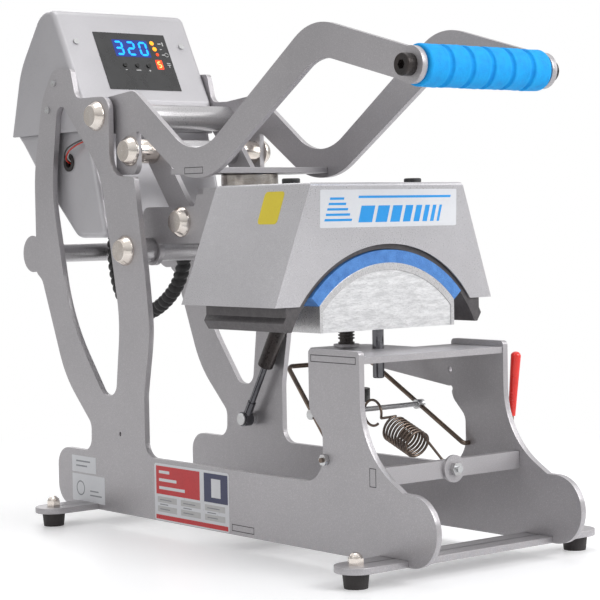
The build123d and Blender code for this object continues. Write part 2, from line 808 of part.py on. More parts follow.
def cover_share(z):
    """How far up the cover a height lies, 0 at its bottom and 1 at its top."""
    return (z - cover_bottom) / (cover_top - cover_bottom)


def cover_rear_at(z):
    return head_rear_bottom + (head_rear_top - head_rear_bottom) * cover_share(z)


gland_wall_y = cover_rear_at(loom_end[1])
with BuildPart() as head_gland:
    with BuildSketch(front_view(loom_end[0])):
        with Locations((0, loom_end[1])):
            Circle(loom_gland_radius)
    extrude(amount=loom_end[0] - gland_wall_y - gland_wall_gap)
    with BuildSketch(front_view(loom_end[0])):
        with Locations((0, loom_end[1])):
            Circle(loom_gland_stem)
    extrude(amount=loom_end[0] - gland_wall_y + gland_stem_reach)
    with BuildSketch(front_view(gland_wall_y - cover_sheet - gland_wall_gap)):
        with Locations((0, loom_end[1])):
            Circle(loom_gland_radius)
    extrude(amount=gland_nut_thick)
    with BuildSketch(front_view(loom_end[0])):
        with Locations((0, loom_end[1])):
            Circle(loom_radius - loom_wall)
    extrude(amount=4 * loom_radius, mode=Mode.SUBTRACT)
head_gland.part.label = "head_cable_gland"
export_step(head_gland.part, "parts/head_cable_gland.step")

# ---------------------------------------------------------------- heated head
casting_length = casting_rear - casting_front
shoulder_x = casting_outer_radius * cos(radians(casting_shoulder_angle))
shoulder_z = platen_axis_z + casting_outer_radius * sin(radians(casting_shoulder_angle))
with BuildPart() as casting:
    with BuildSketch(front_view(casting_rear)):
        with Locations((0, middle(casting_bottom, casting_shoulder))):
            Rectangle(2 * casting_half_width, casting_shoulder - casting_bottom)
        with BuildLine():
            Polyline((-casting_half_width, casting_shoulder), (-shoulder_x, shoulder_z),
                     (shoulder_x, shoulder_z), (casting_half_width, casting_shoulder), close=True)
        make_face()
        with Locations((0, platen_axis_z)):
            Circle(casting_outer_radius)
        with Locations((0, casting_bottom - casting_outer_radius)):
            Rectangle(4 * casting_outer_radius, 2 * casting_outer_radius, mode=Mode.SUBTRACT)
        with Locations((0, platen_axis_z)):
            Circle(casting_arc_radius, mode=Mode.SUBTRACT)
    extrude(amount=casting_length)
    outer_lower_edges = casting.edges().filter_by(Axis.Y).group_by(Axis.Z)[0].sort_by(Axis.X)
    chamfer([outer_lower_edges[0], outer_lower_edges[-1]], length=casting_chamfer)
casting.part.label = "heater_casting"
export_step(casting.part, "parts/heater_casting.step")

block_outer = arm_inner_half
block_inner = arm_inner_half - mount_block_width
block_bottom = platen_axis_z + sqrt(casting_outer_radius**2 - block_inner**2) + face_gap
standoff_x = middle(arm_inner_half, arm_outer_half)
with BuildPart() as head_mounts:
    with BuildSketch(level(block_bottom)):
        with Locations((middle(block_inner, block_outer), middle(mount_block_front, mount_block_rear))):
            Rectangle(mount_block_width, mount_block_rear - mount_block_front)
    extrude(amount=mount_block_top - block_bottom)
    with BuildSketch(level(arm_top)):
        with Locations(*[(standoff_x, y) for y in standoff_ys]):
            Circle(standoff_radius)
    extrude(amount=cover_top - cover_sheet - arm_top)
    mirror(about=Plane.YZ)
head_mounts.part.label = "head_mounts"
export_step(head_mounts.part, "parts/head_mounts.step")


def cover_section(half, front, rear):
    """Corners of the cover's plan at one height."""
    return [(-half, front), (half, front), (half, rear), (-half, rear)]


def cover_block(grow, bottom, top):
    """The cover's section at two heights, moved out by grow on its sides."""
    sections = []
    for z in (bottom, top):
        share = cover_share(z)
        half = cover_half_bottom + (cover_half_top - cover_half_bottom) * share + grow
        front = head_front_bottom + (head_front_top - head_front_bottom) * share - grow
        rear = cover_rear_at(z) + grow
        with BuildSketch(level(z)) as section:
            with BuildLine():
                Polyline(*cover_section(half, front, rear), close=True)
            make_face()
        sections.append(section.sketch.faces()[0])
    return sections


with BuildPart() as cover:
    loft(cover_block(0, cover_bottom, cover_top))
    fillet(cover.faces().sort_by(Axis.Z)[-1].edges(), radius=3.0)
    loft(cover_block(-cover_sheet, cover_bottom - 0.01, cover_top - cover_sheet), mode=Mode.SUBTRACT)
    with BuildSketch(front_view(head_front_top + 20)):
        with Locations((0, platen_axis_z)):
            Circle(cover_arch_radius)
    extrude(amount=60, mode=Mode.SUBTRACT)
    with BuildSketch(front_view(head_rear_bottom + 20)):
        with Locations(*[(side * standoff_x, middle(arm_bottom, arm_top)) for side in (-1, 1)]):
            Rectangle(arm_thick + 2 * arm_slot_gap, arm_top - arm_bottom + 2 * arm_slot_gap)
        with Locations((0, loom_end[1])):
            Circle(loom_gland_stem + slot_clearance)
    extrude(amount=60, mode=Mode.SUBTRACT)
    with BuildSketch(level(cover_top - 10)):
        with Locations((-plug_x, plug_y), (plug_x, plug_y)):
            Circle(plug_stem_radius + running_clearance)
    extrude(amount=30, mode=Mode.SUBTRACT)
cover.part.label = "head_cover"
export_step(cover.part, "parts/head_cover.step")

with BuildPart() as plugs:
    with BuildSketch(level(cover_top)):
        with Locations((-plug_x, plug_y), (plug_x, plug_y)):
            Circle(plug_radius)
    extrude(amount=plug_height)
    fillet(plugs.edges().filter_by(GeomType.CIRCLE).group_by(Axis.Z)[-1], radius=1.5)
    with BuildSketch(level(cover_top - 6)):
        with Locations((-plug_x, plug_y), (plug_x, plug_y)):
            Circle(plug_stem_radius)
    extrude(amount=6)
plugs.part.label = "cover_plugs"
export_step(plugs.part, "parts/cover_plugs.step")


# ---------------------------------------------------------------- lower platen
dome_chord_z = platen_axis_z + sqrt(shoe_outer_radius**2 - shoe_half_width**2)
platen_length = platen_rear - platen_front
shoe_inner_radius = shoe_outer_radius - shoe_wall


def dome_face(radius, half_width, bottom):
    """A platen section: a round top on straight sides."""
    with Locations((0, platen_axis_z)):
        Circle(radius)
    with Locations((0, bottom + radius)):
        Rectangle(2 * half_width, 2 * radius, mode=Mode.INTERSECT)


with BuildPart() as shoe:
    with BuildSketch(front_view(platen_rear)):
        dome_face(shoe_outer_radius, shoe_half_width, platen_bottom)
    extrude(amount=platen_length)
    with BuildSketch(front_view(platen_rear)):
        dome_face(shoe_inner_radius, shoe_half_width - shoe_side_wall, platen_bottom - 1)
    extrude(amount=platen_length, mode=Mode.SUBTRACT)
shoe.part.label = "platen_shoe"
export_step(shoe.part, "parts/platen_shoe.step")

core_inset = 1.0
screw_neck_radius = screw_core_radius - 1
with BuildPart() as core:
    with BuildSketch(front_view(platen_rear - core_inset)):
        dome_face(shoe_inner_radius - running_clearance, shoe_half_width - shoe_side_wall - running_clearance,
                  platen_bottom)
    extrude(amount=platen_length - 2 * core_inset)
    with BuildSketch(level(platen_bottom)):
        with Locations((0, screw_y)):
            Circle(screw_neck_radius + running_clearance)
    extrude(amount=screw_socket_depth, mode=Mode.SUBTRACT)
core.part.label = "platen_core"
export_step(core.part, "parts/platen_core.step")

with BuildPart() as pad:
    with BuildSketch(front_view(platen_rear)):
        with BuildLine():
            span = 2 * pad_half_angle
            inner_arc = CenterArc((0, platen_axis_z), shoe_outer_radius, 90 - pad_half_angle, span)
            outer_arc = CenterArc((0, platen_axis_z), pad_outer_radius, 90 - pad_half_angle, span)
            Line(inner_arc @ 0, outer_arc @ 0)
            Line(inner_arc @ 1, outer_arc @ 1)
        make_face()
    extrude(amount=platen_length)
pad.part.label = "platen_pad"
export_step(pad.part, "parts/platen_pad.step")

with BuildPart() as guide_pin:
    with BuildSketch(level(guide_pin_bottom)):
        with Locations((0, guide_pin_y)):
            Circle(guide_pin_radius)
    extrude(amount=platen_bottom - guide_pin_bottom)
    fillet(guide_pin.edges().filter_by(GeomType.CIRCLE).sort_by(Axis.Z)[0], radius=1.5)
guide_pin.part.label = "guide_pin"
export_step(guide_pin.part, "parts/guide_pin.step")

thread_bottom = knob_bottom + knob_height
with BuildPart() as height_screw:
    with BuildSketch(level(screw_bottom)):
        with Locations((0, screw_y)):
            Circle(screw_neck_radius)
    extrude(amount=platen_bottom + screw_socket_depth - face_gap - screw_bottom)
    with BuildSketch(level(thread_bottom)):
        with Locations((0, screw_y)):
            Circle(screw_core_radius)
    extrude(amount=platen_bottom - face_gap - thread_bottom)
    with BuildSketch(level(thread_bottom)):
        with Locations((0, screw_y)):
            Circle(screw_radius)
    extrude(amount=support_top + screw_nut_height + 2 - thread_bottom)
    ridge_count = int((platen_bottom - face_gap - support_top - screw_nut_height - 2) / screw_pitch)
    for ridge in range(ridge_count):
        ridge_bottom = platen_bottom - face_gap - (ridge + 1) * screw_pitch + screw_pitch / 4
        with BuildSketch(level(ridge_bottom)):
            with Locations((0, screw_y)):
                Circle(screw_radius)
        extrude(amount=screw_pitch / 2)
height_screw.part.label = "height_screw"
export_step(height_screw.part, "parts/height_screw.step")

with BuildPart() as knob:
    with BuildSketch(level(knob_bottom)):
        with Locations((0, screw_y)):
            Circle(knob_radius)
        with Locations((0, screw_y)):
            with PolarLocations(knob_radius + knob_lobe_radius / 2, knob_lobes):
                Circle(knob_lobe_radius, mode=Mode.SUBTRACT)
            Circle(screw_neck_radius + running_clearance, mode=Mode.SUBTRACT)
    extrude(amount=knob_height)
knob.part.label = "pressure_knob"
export_step(knob.part, "parts/pressure_knob.step")

# ---------------------------------------------------------------- gas strut
strut_length = lever_length(strut_foot, strut_top)
strut_way = Vector(0, strut_top[0] - strut_foot[0], strut_top[1] - strut_foot[1]).normalized()
strut_base = Plane(origin=at(strut_x, *strut_foot), x_dir=(1, 0, 0), z_dir=strut_way)
strut_eye_half = 5.0
strut_end_cap = 2.0
tube_top = strut_length - socket_length

with BuildPart() as foot_stud:
    with BuildSketch(side_view(strut_x - strut_eye_half - 2.5)):
        with Locations(strut_foot):
            Circle(strut_stud_radius)
    extrude(amount=frame_outer_half - strut_x + strut_eye_half + 2.5)
    for start, end in ((strut_x - strut_eye_half - 2.5, strut_x - strut_eye_half - face_gap),
                       (strut_x + strut_eye_half + face_gap, frame_inner_half)):
        with BuildSketch(side_view(start)):
            with Locations(strut_foot):
                Circle(strut_eye_radius - 1.5)
        extrude(amount=end - start)
foot_stud.part.label = "strut_foot_stud"
export_step(foot_stud.part, "parts/strut_foot_stud.step")

piston_seat = strut_rod_shown + strut_rod_inside
with BuildPart() as gas_rod:
    with BuildSketch(side_view(strut_x - strut_eye_half)):
        with Locations(strut_foot):
            Circle(strut_eye_radius)
    extrude(amount=2 * strut_eye_half)
    with BuildSketch(strut_base):
        Circle(strut_ball_radius)
    extrude(amount=socket_length)
    with BuildSketch(strut_base):
        Circle(strut_rod_radius)
    extrude(amount=piston_seat)
    with BuildSketch(strut_base.offset(piston_seat)):
        Circle(strut_tube_radius - strut_tube_wall - running_clearance)
    extrude(amount=4)
    with BuildSketch(side_view(strut_x - strut_eye_half)):
        with Locations(strut_foot):
            Circle(strut_stud_radius + running_clearance)
    extrude(amount=2 * strut_eye_half, mode=Mode.SUBTRACT)
gas_rod.part.label = "gas_strut_rod"
export_step(gas_rod.part, "parts/gas_strut_rod.step")

top_eye_bore = strut_stud_radius + strut_free_play
with BuildPart() as gas_tube:
    with BuildSketch(strut_base.offset(strut_rod_shown)):
        Circle(strut_tube_radius)
    extrude(amount=tube_top - strut_rod_shown)
    with BuildSketch(strut_base.offset(tube_top)):
        Circle(strut_ball_radius)
    extrude(amount=socket_length)
    with BuildSketch(side_view(strut_x - strut_eye_half)):
        with Locations(strut_top):
            Circle(top_eye_bore + strut_eye_wall)
    extrude(amount=2 * strut_eye_half)
    with BuildSketch(side_view(strut_x - strut_eye_half)):
        with Locations(strut_top):
            Circle(top_eye_bore)
    extrude(amount=2 * strut_eye_half, mode=Mode.SUBTRACT)
    with BuildSketch(strut_base.offset(strut_rod_shown)):
        Circle(strut_rod_radius + running_clearance)
    extrude(amount=strut_end_cap + 1, mode=Mode.SUBTRACT)
    with BuildSketch(strut_base.offset(strut_rod_shown + strut_end_cap)):
        Circle(strut_tube_radius - strut_tube_wall)
    extrude(amount=tube_top - strut_rod_shown - 2 * strut_end_cap, mode=Mode.SUBTRACT)
gas_tube.part.label = "gas_strut_tube"
export_step(gas_tube.part, "parts/gas_strut_tube.step")

with BuildPart() as top_stud:
    with BuildSketch(side_view(arm_inner_half)):
        with Locations(strut_top):
            Circle(strut_stud_radius)
    extrude(amount=strut_x + strut_eye_half + face_gap - arm_inner_half)
    for start, end in ((arm_outer_half, strut_x - strut_eye_half - face_gap),
                       (strut_x + strut_eye_half + face_gap, strut_x + strut_eye_half + 2)):
        with BuildSketch(side_view(start)):
            with Locations(strut_top):
                Circle(top_eye_bore + strut_eye_wall / 2)
        extrude(amount=end - start)
top_stud.part.label = "strut_top_stud"
export_step(top_stud.part, "parts/strut_top_stud.step")

# ---------------------------------------------------------------- cap hold-down bail
bail_points = [
    at(-frame_outer_half - bail_nut_thick - 1.5, *bail_pivot), at(-bail_foot_half, *bail_pivot),
    at(-bail_top_half, *bail_top), at(bail_top_half, *bail_top), at(bail_foot_half, *bail_pivot),
    at(lever_x - 4, *bail_pivot), at(lever_x, *lever_knee), at(lever_x, *lever_tip),
]
with BuildPart() as bail:
    with BuildLine() as bail_path:
        FilletPolyline(*bail_points, radius=[3.5, bail_bend, bail_bend, 3.5, 3.5, bail_bend])
    with BuildSketch(Plane(origin=bail_path.line @ 0, z_dir=bail_path.line % 0)):
        Circle(bail_wire_radius)
    sweep()
bail.part.label = "bail_wire"
export_step(bail.part, "parts/bail_wire.step")

anchor_share = (anchor_y - bail_pivot[0]) / (bail_top[0] - bail_pivot[0])
anchor_z = bail_pivot[1] + (bail_top[1] - bail_pivot[1]) * anchor_share
anchor_half = bail_foot_half + (bail_top_half - bail_foot_half) * anchor_share
arm_slope = Vector(bail_top_half - bail_foot_half, bail_top[0] - bail_pivot[0], bail_top[1] - bail_pivot[1])
with BuildPart() as bail_fittings:
    with BuildSketch(side_view(0)):
        with Locations((anchor_y, anchor_z)):
            Circle(anchor_radius)
    extrude(amount=anchor_half)
    with BuildSketch(side_view(anchor_half - anchor_collar_length / 2)):
        with Locations((anchor_y, anchor_z)):
            Circle(anchor_collar_radius)
    extrude(amount=anchor_collar_length)
    with BuildSketch(Plane(origin=at(anchor_half, anchor_y, anchor_z), z_dir=arm_slope)):
        Circle(bail_wire_radius + running_clearance)
    extrude(amount=20, both=True, mode=Mode.SUBTRACT)
    with BuildSketch(side_view(frame_outer_half + face_gap)):
        with Locations(bail_pivot):
            RegularPolygon(bail_nut_radius, 6)
            Circle(bail_wire_radius + running_clearance, mode=Mode.SUBTRACT)
    extrude(amount=bail_nut_thick - 1)
    mirror(about=Plane.YZ)
bail_fittings.part.label = "bail_fittings"
export_step(bail_fittings.part, "parts/bail_fittings.step")

lever_foot = Vector(*at(lever_x, *lever_tip)) - Vector(0, lever_tip[0] - lever_knee[0],
                                                       lever_tip[1] - lever_knee[1]).normalized() * lever_grip_length
lever_plane = Plane(origin=lever_foot, x_dir=(1, 0, 0), z_dir=bail_path.line % 1)
with BuildPart() as lever_grip:
    with Locations(lever_plane):
        Cone(lever_grip_foot_radius, lever_grip_radius, lever_grip_length + lever_grip_crown, align=stand_up)
    fillet(lever_grip.edges().filter_by(GeomType.CIRCLE).sort_by(Axis.Z)[-1], radius=lever_grip_radius - 0.6)
    with BuildSketch(lever_plane):
        Circle(bail_wire_radius + running_clearance)
    extrude(amount=lever_grip_length + running_clearance, mode=Mode.SUBTRACT)
lever_grip.part.label = "lever_grip"
export_step(lever_grip.part, "parts/lever_grip.step")

# ---------------------------------------------------------------- bail spring: a close coil with a hook at each end
stud_hook_y = crossbar_rear + 5.0
stud_hook_radius = 5.5
hook_centre = (stud_hook_y, crossbar_mid + 1.0)
anchor_hook_radius = spring_mean_radius
spring_way = Vector(0, anchor_y - stud_hook_y, anchor_z - crossbar_mid - stud_hook_radius).normalized()
coil_centre = Vector(*at(0, middle(anchor_y, stud_hook_y) - 2, middle(anchor_z, crossbar_mid) + 1))
coil_start = coil_centre - spring_way * (spring_coil_length / 2)
coil_end = coil_centre + spring_way * (spring_coil_length / 2)
anchor_point = Vector(*at(0, anchor_y, anchor_z))
anchor_ring = anchor_point - spring_way * (anchor_hook_radius - spring_wire_radius - anchor_radius - face_gap)
ring_near = anchor_ring - spring_way * anchor_hook_radius
with BuildPart() as spring:
    with BuildLine() as coil_path:
        Helix(spring_coil_length / spring_turns, spring_coil_length, spring_mean_radius,
              center=coil_start, direction=spring_way)
    with BuildSketch(Plane(origin=coil_path.line @ 0, z_dir=coil_path.line % 0)):
        Circle(spring_wire_radius)
    sweep(is_frenet=True)
    with Locations(Plane(origin=anchor_ring, x_dir=spring_way, z_dir=(1, 0, 0))):
        Torus(anchor_hook_radius, spring_wire_radius)
    with Locations(Plane(origin=at(0, *hook_centre), x_dir=(1, 0, 0), z_dir=(0, 1, 0))):
        Torus(stud_hook_radius, spring_wire_radius)
    stud_ring_top = Vector(*at(0, hook_centre[0], hook_centre[1] + stud_hook_radius))
    for leg_start, leg_end in ((coil_path.line @ 1, ring_near), (coil_path.line @ 0, stud_ring_top)):
        leg_way = leg_end - leg_start
        with BuildSketch(Plane(origin=leg_start, z_dir=leg_way)):
            Circle(spring_wire_radius)
        extrude(amount=leg_way.length)
        with Locations(leg_start):
            Sphere(spring_wire_radius)
spring.part.label = "bail_spring"
export_step(spring.part, "parts/bail_spring.step")

# ---------------------------------------------------------------- control box
face_rise = lever_length(box_foot, box_brow)
face_way = ((box_brow[0] - box_foot[0]) / face_rise, (box_brow[1] - box_foot[1]) / face_rise)
front_face = Plane(origin=at(0, *box_foot), x_dir=(1, 0, 0), z_dir=(0, -face_way[1], face_way[0]))
slope_run = lever_length(tray_slope_low, tray_slope_high)
slope_way = ((tray_slope_high[0] - tray_slope_low[0]) / slope_run,
             (tray_slope_high[1] - tray_slope_low[1]) / slope_run)
rear_run = lever_length(tray_slope_high, tray_rear_knee)
rear_way = ((tray_rear_knee[0] - tray_slope_high[0]) / rear_run, (tray_rear_knee[1] - tray_slope_high[1]) / rear_run)
fitting_mid = (middle(tray_slope_high[0], tray_rear_knee[0]), middle(tray_slope_high[1], tray_rear_knee[1]))
fitting_plane = Plane(origin=at(0, *fitting_mid), x_dir=(1, 0, 0), z_dir=(0, rear_way[1], -rear_way[0]))
gland_share = slope_way[0] * (loom_route[0][0] - tray_slope_low[0]) + slope_way[1] * (
    loom_route[0][1] - tray_slope_low[1])
gland_foot = (tray_slope_low[0] + slope_way[0] * gland_share, tray_slope_low[1] + slope_way[1] * gland_share)
gland_plane = Plane(origin=at(0, *gland_foot), x_dir=(1, 0, 0), z_dir=(0, slope_way[1], -slope_way[0]))
gland_length = lever_length(gland_foot, loom_route[0])
seam_gap = 0.3
ear_top = box_screw_spots[1][1] + tray_ear_rise
tray_boss_length = box_half - box_sheet - tray_half - running_clearance

with BuildPart() as shell:
    with BuildSketch(side_view(-box_half)):
        with BuildLine():
            FilletPolyline(*shell_outline, radius=shell_radii, close=True)
        make_face()
    extrude(amount=2 * box_half)
    shell_rims = shell.faces().filter_by(Axis.X).edges()
    fillet([rim for rim in shell_rims if rim.center().Z > box_seam_height + 1], radius=box_edge_radius)
    shell_floor = shell.faces().filter_by(GeomType.PLANE).sort_by(Axis.Z)[0]
    offset(amount=-box_sheet, openings=shell_floor)
    with BuildSketch(front_face):
        with Locations((panel_centre_x, panel_centre_up)):
            Rectangle(panel_width + 2 * running_clearance, panel_height + 2 * running_clearance)
        with Locations((-face_screw_x, face_screw_up), (face_screw_x, face_screw_up)):
            Circle(box_screw_radius + running_clearance)
    extrude(amount=2 * box_sheet, both=True, mode=Mode.SUBTRACT)
    with BuildSketch(side_view(-frame_inner_half)):
        with Locations(*box_screw_spots):
            Circle(box_screw_radius + running_clearance)
    extrude(amount=2 * frame_inner_half, mode=Mode.SUBTRACT)
shell.part.label = "control_box_shell"
export_step(shell.part, "parts/control_box_shell.step")

with BuildPart() as tray:
    with BuildSketch(side_view(-tray_half)):
        with BuildLine():
            FilletPolyline(
                (tray_lip[0], tray_lip[1] - seam_gap), tray_front_low, tray_slope_low, tray_slope_high,
                tray_rear_knee, (box_seam[0] - box_sheet, box_seam_height - seam_gap),
                radius=tray_corner_radii, close=True,
            )
        make_face()
    extrude(amount=2 * tray_half)
    tray_rims = tray.faces().filter_by(Axis.X).edges()
    fillet([rim for rim in tray_rims if rim.center().Z < box_seam_height - 1], radius=tray_edge_radius)
    tray_mouth = tray.faces().filter_by(GeomType.PLANE).sort_by(Axis.Z)[-1]
    offset(amount=-tray_sheet, openings=tray_mouth)
    with BuildSketch(gland_plane):
        Circle(loom_gland_stem + running_clearance)
    extrude(amount=4, both=True, mode=Mode.SUBTRACT)
    with BuildSketch(side_view(-tray_half)):
        with Locations(grommet_spot):
            Circle(grommet_radius)
    extrude(amount=2 * tray_sheet, mode=Mode.SUBTRACT)
    with BuildSketch(fitting_plane):
        with Locations((inlet_x, 0)):
            Rectangle(inlet_width + 2 * running_clearance, inlet_height + 2 * running_clearance)
        with Locations((switch_x, 0)):
            Rectangle(switch_width + 4 + 2 * running_clearance, switch_height + 4 + 2 * running_clearance)
    extrude(amount=5, both=True, mode=Mode.SUBTRACT)
    for start in (-tray_half, tray_half - tray_sheet):
        with BuildSketch(side_view(start)):
            with Locations((box_screw_spots[1][0], middle(box_seam_height - tray_ear_rise, ear_top))):
                Rectangle(tray_ear_width, ear_top - box_seam_height + tray_ear_rise)
        extrude(amount=tray_sheet)
    with BuildSketch(side_view(tray_half)):
        with Locations(box_screw_spots[1]):
            Circle(box_screw_radius + 2)
    extrude(amount=tray_boss_length)
    with BuildSketch(side_view(-tray_half)):
        with Locations(box_screw_spots[1]):
            Circle(box_screw_radius + 2)
    extrude(amount=-tray_boss_length)
    with BuildSketch(side_view(-frame_inner_half)):
        with Locations(box_screw_spots[1]):
            Circle(box_screw_radius + running_clearance)
    extrude(amount=2 * frame_inner_half, mode=Mode.SUBTRACT)
tray.part.label = "control_box_tray"
export_step(tray.part, "parts/control_box_tray.step")

with BuildPart() as panel:
    with BuildSketch(front_face.offset(-box_sheet)):
        with Locations((panel_centre_x, panel_centre_up)):
            Rectangle(panel_width, panel_height)
        with Locations(*[(x, button_up) for x in button_xs]):
            Circle(button_radius + running_clearance, mode=Mode.SUBTRACT)
    extrude(amount=box_sheet + panel_stand)
    post_x = panel_width / 2 - 6
    post_up = panel_height / 2 - 6
    with BuildSketch(front_face.offset(-box_sheet)):
        with Locations((panel_centre_x, panel_centre_up)):
            with GridLocations(2 * post_x, 2 * post_up, 2, 2):
                Circle(panel_post_radius)
    extrude(amount=-panel_post_length)
panel.part.label = "display_panel"
export_step(panel.part, "parts/display_panel.step")

for x, button_name in zip(button_xs, ("down", "mode", "up")):
    with BuildPart() as button:
        with BuildSketch(front_face.offset(-box_sheet)):
            with Locations((x, button_up)):
                Circle(button_radius)
        extrude(amount=box_sheet + panel_stand + button_stand)
        fillet(button.edges().filter_by(GeomType.CIRCLE).sort_by(Axis.Y)[0], radius=0.5)
    button.part.label = f"button_{button_name}"
    export_step(button.part, f"parts/button_{button_name}.step")

tray_floor = tray_slope_low[1]
with BuildPart() as boards:
    with BuildSketch(front_face.offset(-box_sheet - panel_post_length)):
        with Locations((panel_centre_x, panel_centre_up)):
            Rectangle(panel_width - 4, panel_height - 4)
    extrude(amount=-board_thick)
    board_y = middle(tray_front_low[0], tray_slope_low[0]) + board_shift
    board_z = tray_floor + tray_sheet + board_foot_height
    with BuildSketch(level(board_z)):
        with Locations((0, board_y)):
            Rectangle(control_board_width, control_board_length)
    extrude(amount=board_thick)
    with BuildSketch(level(tray_floor + tray_sheet)):
        with Locations((0, board_y - 6)):
            with GridLocations(control_board_width - 2 * board_foot_inset[0],
                               control_board_length - 2 * board_foot_inset[1], 2, 2):
                Circle(board_foot_radius)
    extrude(amount=board_foot_height)
boards.part.label = "circuit_boards"
export_step(boards.part, "parts/circuit_boards.step")

with BuildPart() as box_screws:
    for spot in box_screw_spots:
        side_pin(spot, box_screw_radius, tray_half - tray_sheet - 2, frame_outer_half)
        side_pin(spot, box_screw_head_radius, frame_outer_half, frame_outer_half + box_screw_head_height)
    with Locations(front_face.offset(-box_sheet - 1)):
        with Locations((face_screw_x, face_screw_up)):
            Cylinder(box_screw_radius, box_sheet + 1, align=stand_up)
    with Locations(front_face):
        with Locations((face_screw_x, face_screw_up)):
            Cylinder(face_screw_radius, face_screw_height, align=stand_up)
    mirror(about=Plane.YZ)
box_screws.part.label = "control_box_screws"
export_step(box_screws.part, "parts/control_box_screws.step")

with BuildPart() as grommet:
    for start, thick, radius in ((-tray_half - 1.5, 1.5, grommet_radius + 1.5),
                                 (-tray_half, tray_sheet, grommet_radius - running_clearance),
                                 (-tray_half + tray_sheet, 1.5, grommet_radius + 1.5)):
        with BuildSketch(side_view(start)):
            with Locations(grommet_spot):
                Circle(radius)
                Circle(grommet_bore, mode=Mode.SUBTRACT)
        extrude(amount=thick)
grommet.part.label = "wire_grommet"
export_step(grommet.part, "parts/wire_grommet.step")

switch_wall = 2.0
rocker_gap = 0.3
rocker_radius = 11.0
rocker_axis_depth = 4.0
with BuildPart() as inlet:
    with BuildSketch(fitting_plane.offset(-panel_fitting_depth)):
        with Locations((inlet_x, 0)):
            Rectangle(inlet_width, inlet_height)
    extrude(amount=panel_fitting_depth)
    with BuildSketch(fitting_plane):
        with Locations((inlet_x, 0)):
            RectangleRounded(inlet_width + 8, inlet_height + 6, 3)
    extrude(amount=2)
    with BuildSketch(fitting_plane.offset(2)):
        with Locations((inlet_x, 0)):
            RectangleRounded(inlet_width - 6, inlet_height - 8, 3)
    extrude(amount=-panel_fitting_depth, mode=Mode.SUBTRACT)
    with BuildSketch(fitting_plane.offset(2 - panel_fitting_depth)):
        with Locations((inlet_x - 7, 2), (inlet_x, -3), (inlet_x + 7, 2)):
            Rectangle(2, 4)
    extrude(amount=panel_fitting_depth - 5)
    with BuildSketch(fitting_plane.offset(-panel_fitting_depth)):
        with Locations((switch_x, 0)):
            Rectangle(switch_width + 2 * switch_wall, switch_height + 2 * switch_wall)
    extrude(amount=panel_fitting_depth)
    with BuildSketch(fitting_plane):
        with Locations((switch_x, 0)):
            RectangleRounded(switch_width + 8, switch_height + 8, 2)
    extrude(amount=1.5)
    with BuildSketch(fitting_plane.offset(1.5)):
        with Locations((switch_x, 0)):
            Rectangle(switch_width, switch_height)
    extrude(amount=-panel_fitting_depth, mode=Mode.SUBTRACT)
    with Locations(fitting_plane.offset(-rocker_axis_depth)):
        with Locations((switch_x, 0)):
            Cylinder(1.5, switch_height, rotation=(90, 0, 0))
inlet.part.label = "power_inlet"
export_step(inlet.part, "parts/power_inlet.step")

with BuildPart() as rocker:
    with Locations(fitting_plane.offset(-rocker_axis_depth)):
        with Locations((switch_x, 0)):
            Cylinder(rocker_radius - rocker_gap, switch_height - 2 * rocker_gap, rotation=(90, 0, 0))
    with BuildSketch(fitting_plane.offset(-rocker_axis_depth - 3.5)):
        with Locations((switch_x, 0)):
            Rectangle(4 * rocker_radius, 4 * rocker_radius)
    extrude(amount=-3 * rocker_radius, mode=Mode.SUBTRACT)
    with BuildSketch(fitting_plane.offset(4.5)):
        with Locations((switch_x, 0)):
            Rectangle(4 * rocker_radius, 4 * rocker_radius)
    extrude(amount=3 * rocker_radius, mode=Mode.SUBTRACT)
    with Locations(fitting_plane.offset(-rocker_axis_depth)):
        with Locations((switch_x, 0)):
            Cylinder(1.5 + running_clearance, switch_height + 2, rotation=(90, 0, 0), mode=Mode.SUBTRACT)
rocker.part.label = "power_rocker"
export_step(rocker.part, "parts/power_rocker.step")

with BuildPart() as tray_gland:
    with BuildSketch(gland_plane):
        Circle(loom_gland_radius)
    extrude(amount=gland_length)
    with BuildSketch(gland_plane):
        Circle(loom_gland_stem)
    extrude(amount=-tray_sheet)
    with BuildSketch(gland_plane.offset(-tray_sheet)):
        Circle(loom_gland_radius)
    extrude(amount=-gland_nut_thick)
    with BuildSketch(gland_plane.offset(gland_length)):
        Circle(loom_radius - loom_wall)
    extrude(amount=-4 * loom_radius, mode=Mode.SUBTRACT)
tray_gland.part.label = "tray_cable_gland"
export_step(tray_gland.part, "parts/tray_cable_gland.step")

# ---------------------------------------------------------------- wiring loom
loom_points = [at(0, *point) for point in loom_route]


def bend_radii(points):
    """The largest tangent arc at each inner point of a route."""
    radii = []
    for before, here, after in zip(points, points[1:], points[2:]):
        first = Vector(*here) - Vector(*before)
        second = Vector(*after) - Vector(*here)
        turn = first.get_angle(second)
        shorter = min(first.length, second.length)
        radii.append(0.45 * shorter / tan(radians(turn / 2)))
    return radii


loom_radii = bend_radii(loom_points)
with BuildPart() as loom:
    with BuildLine() as loom_path:
        FilletPolyline(*loom_points, radius=loom_radii)
    with BuildSketch(Plane(origin=loom_path.line @ 0, z_dir=loom_path.line % 0)):
        Circle(loom_radius)
    sweep()
loom.part.label = "cable_loom"
export_step(loom.part, "parts/cable_loom.step")

print("loom bend radii", [round(radius, 1) for radius in loom_radii])
loom_length = sum(edge.length for edge in loom_path.edges())
print("loom length", round(loom_length, 1), "section times length", round(pi * loom_radius**2 * loom_length),
      "volume", round(loom.part.volume))
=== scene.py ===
# Cap heat press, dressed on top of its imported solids.
import math
import numpy as np
import bpy
from mathutils import Matrix, Vector


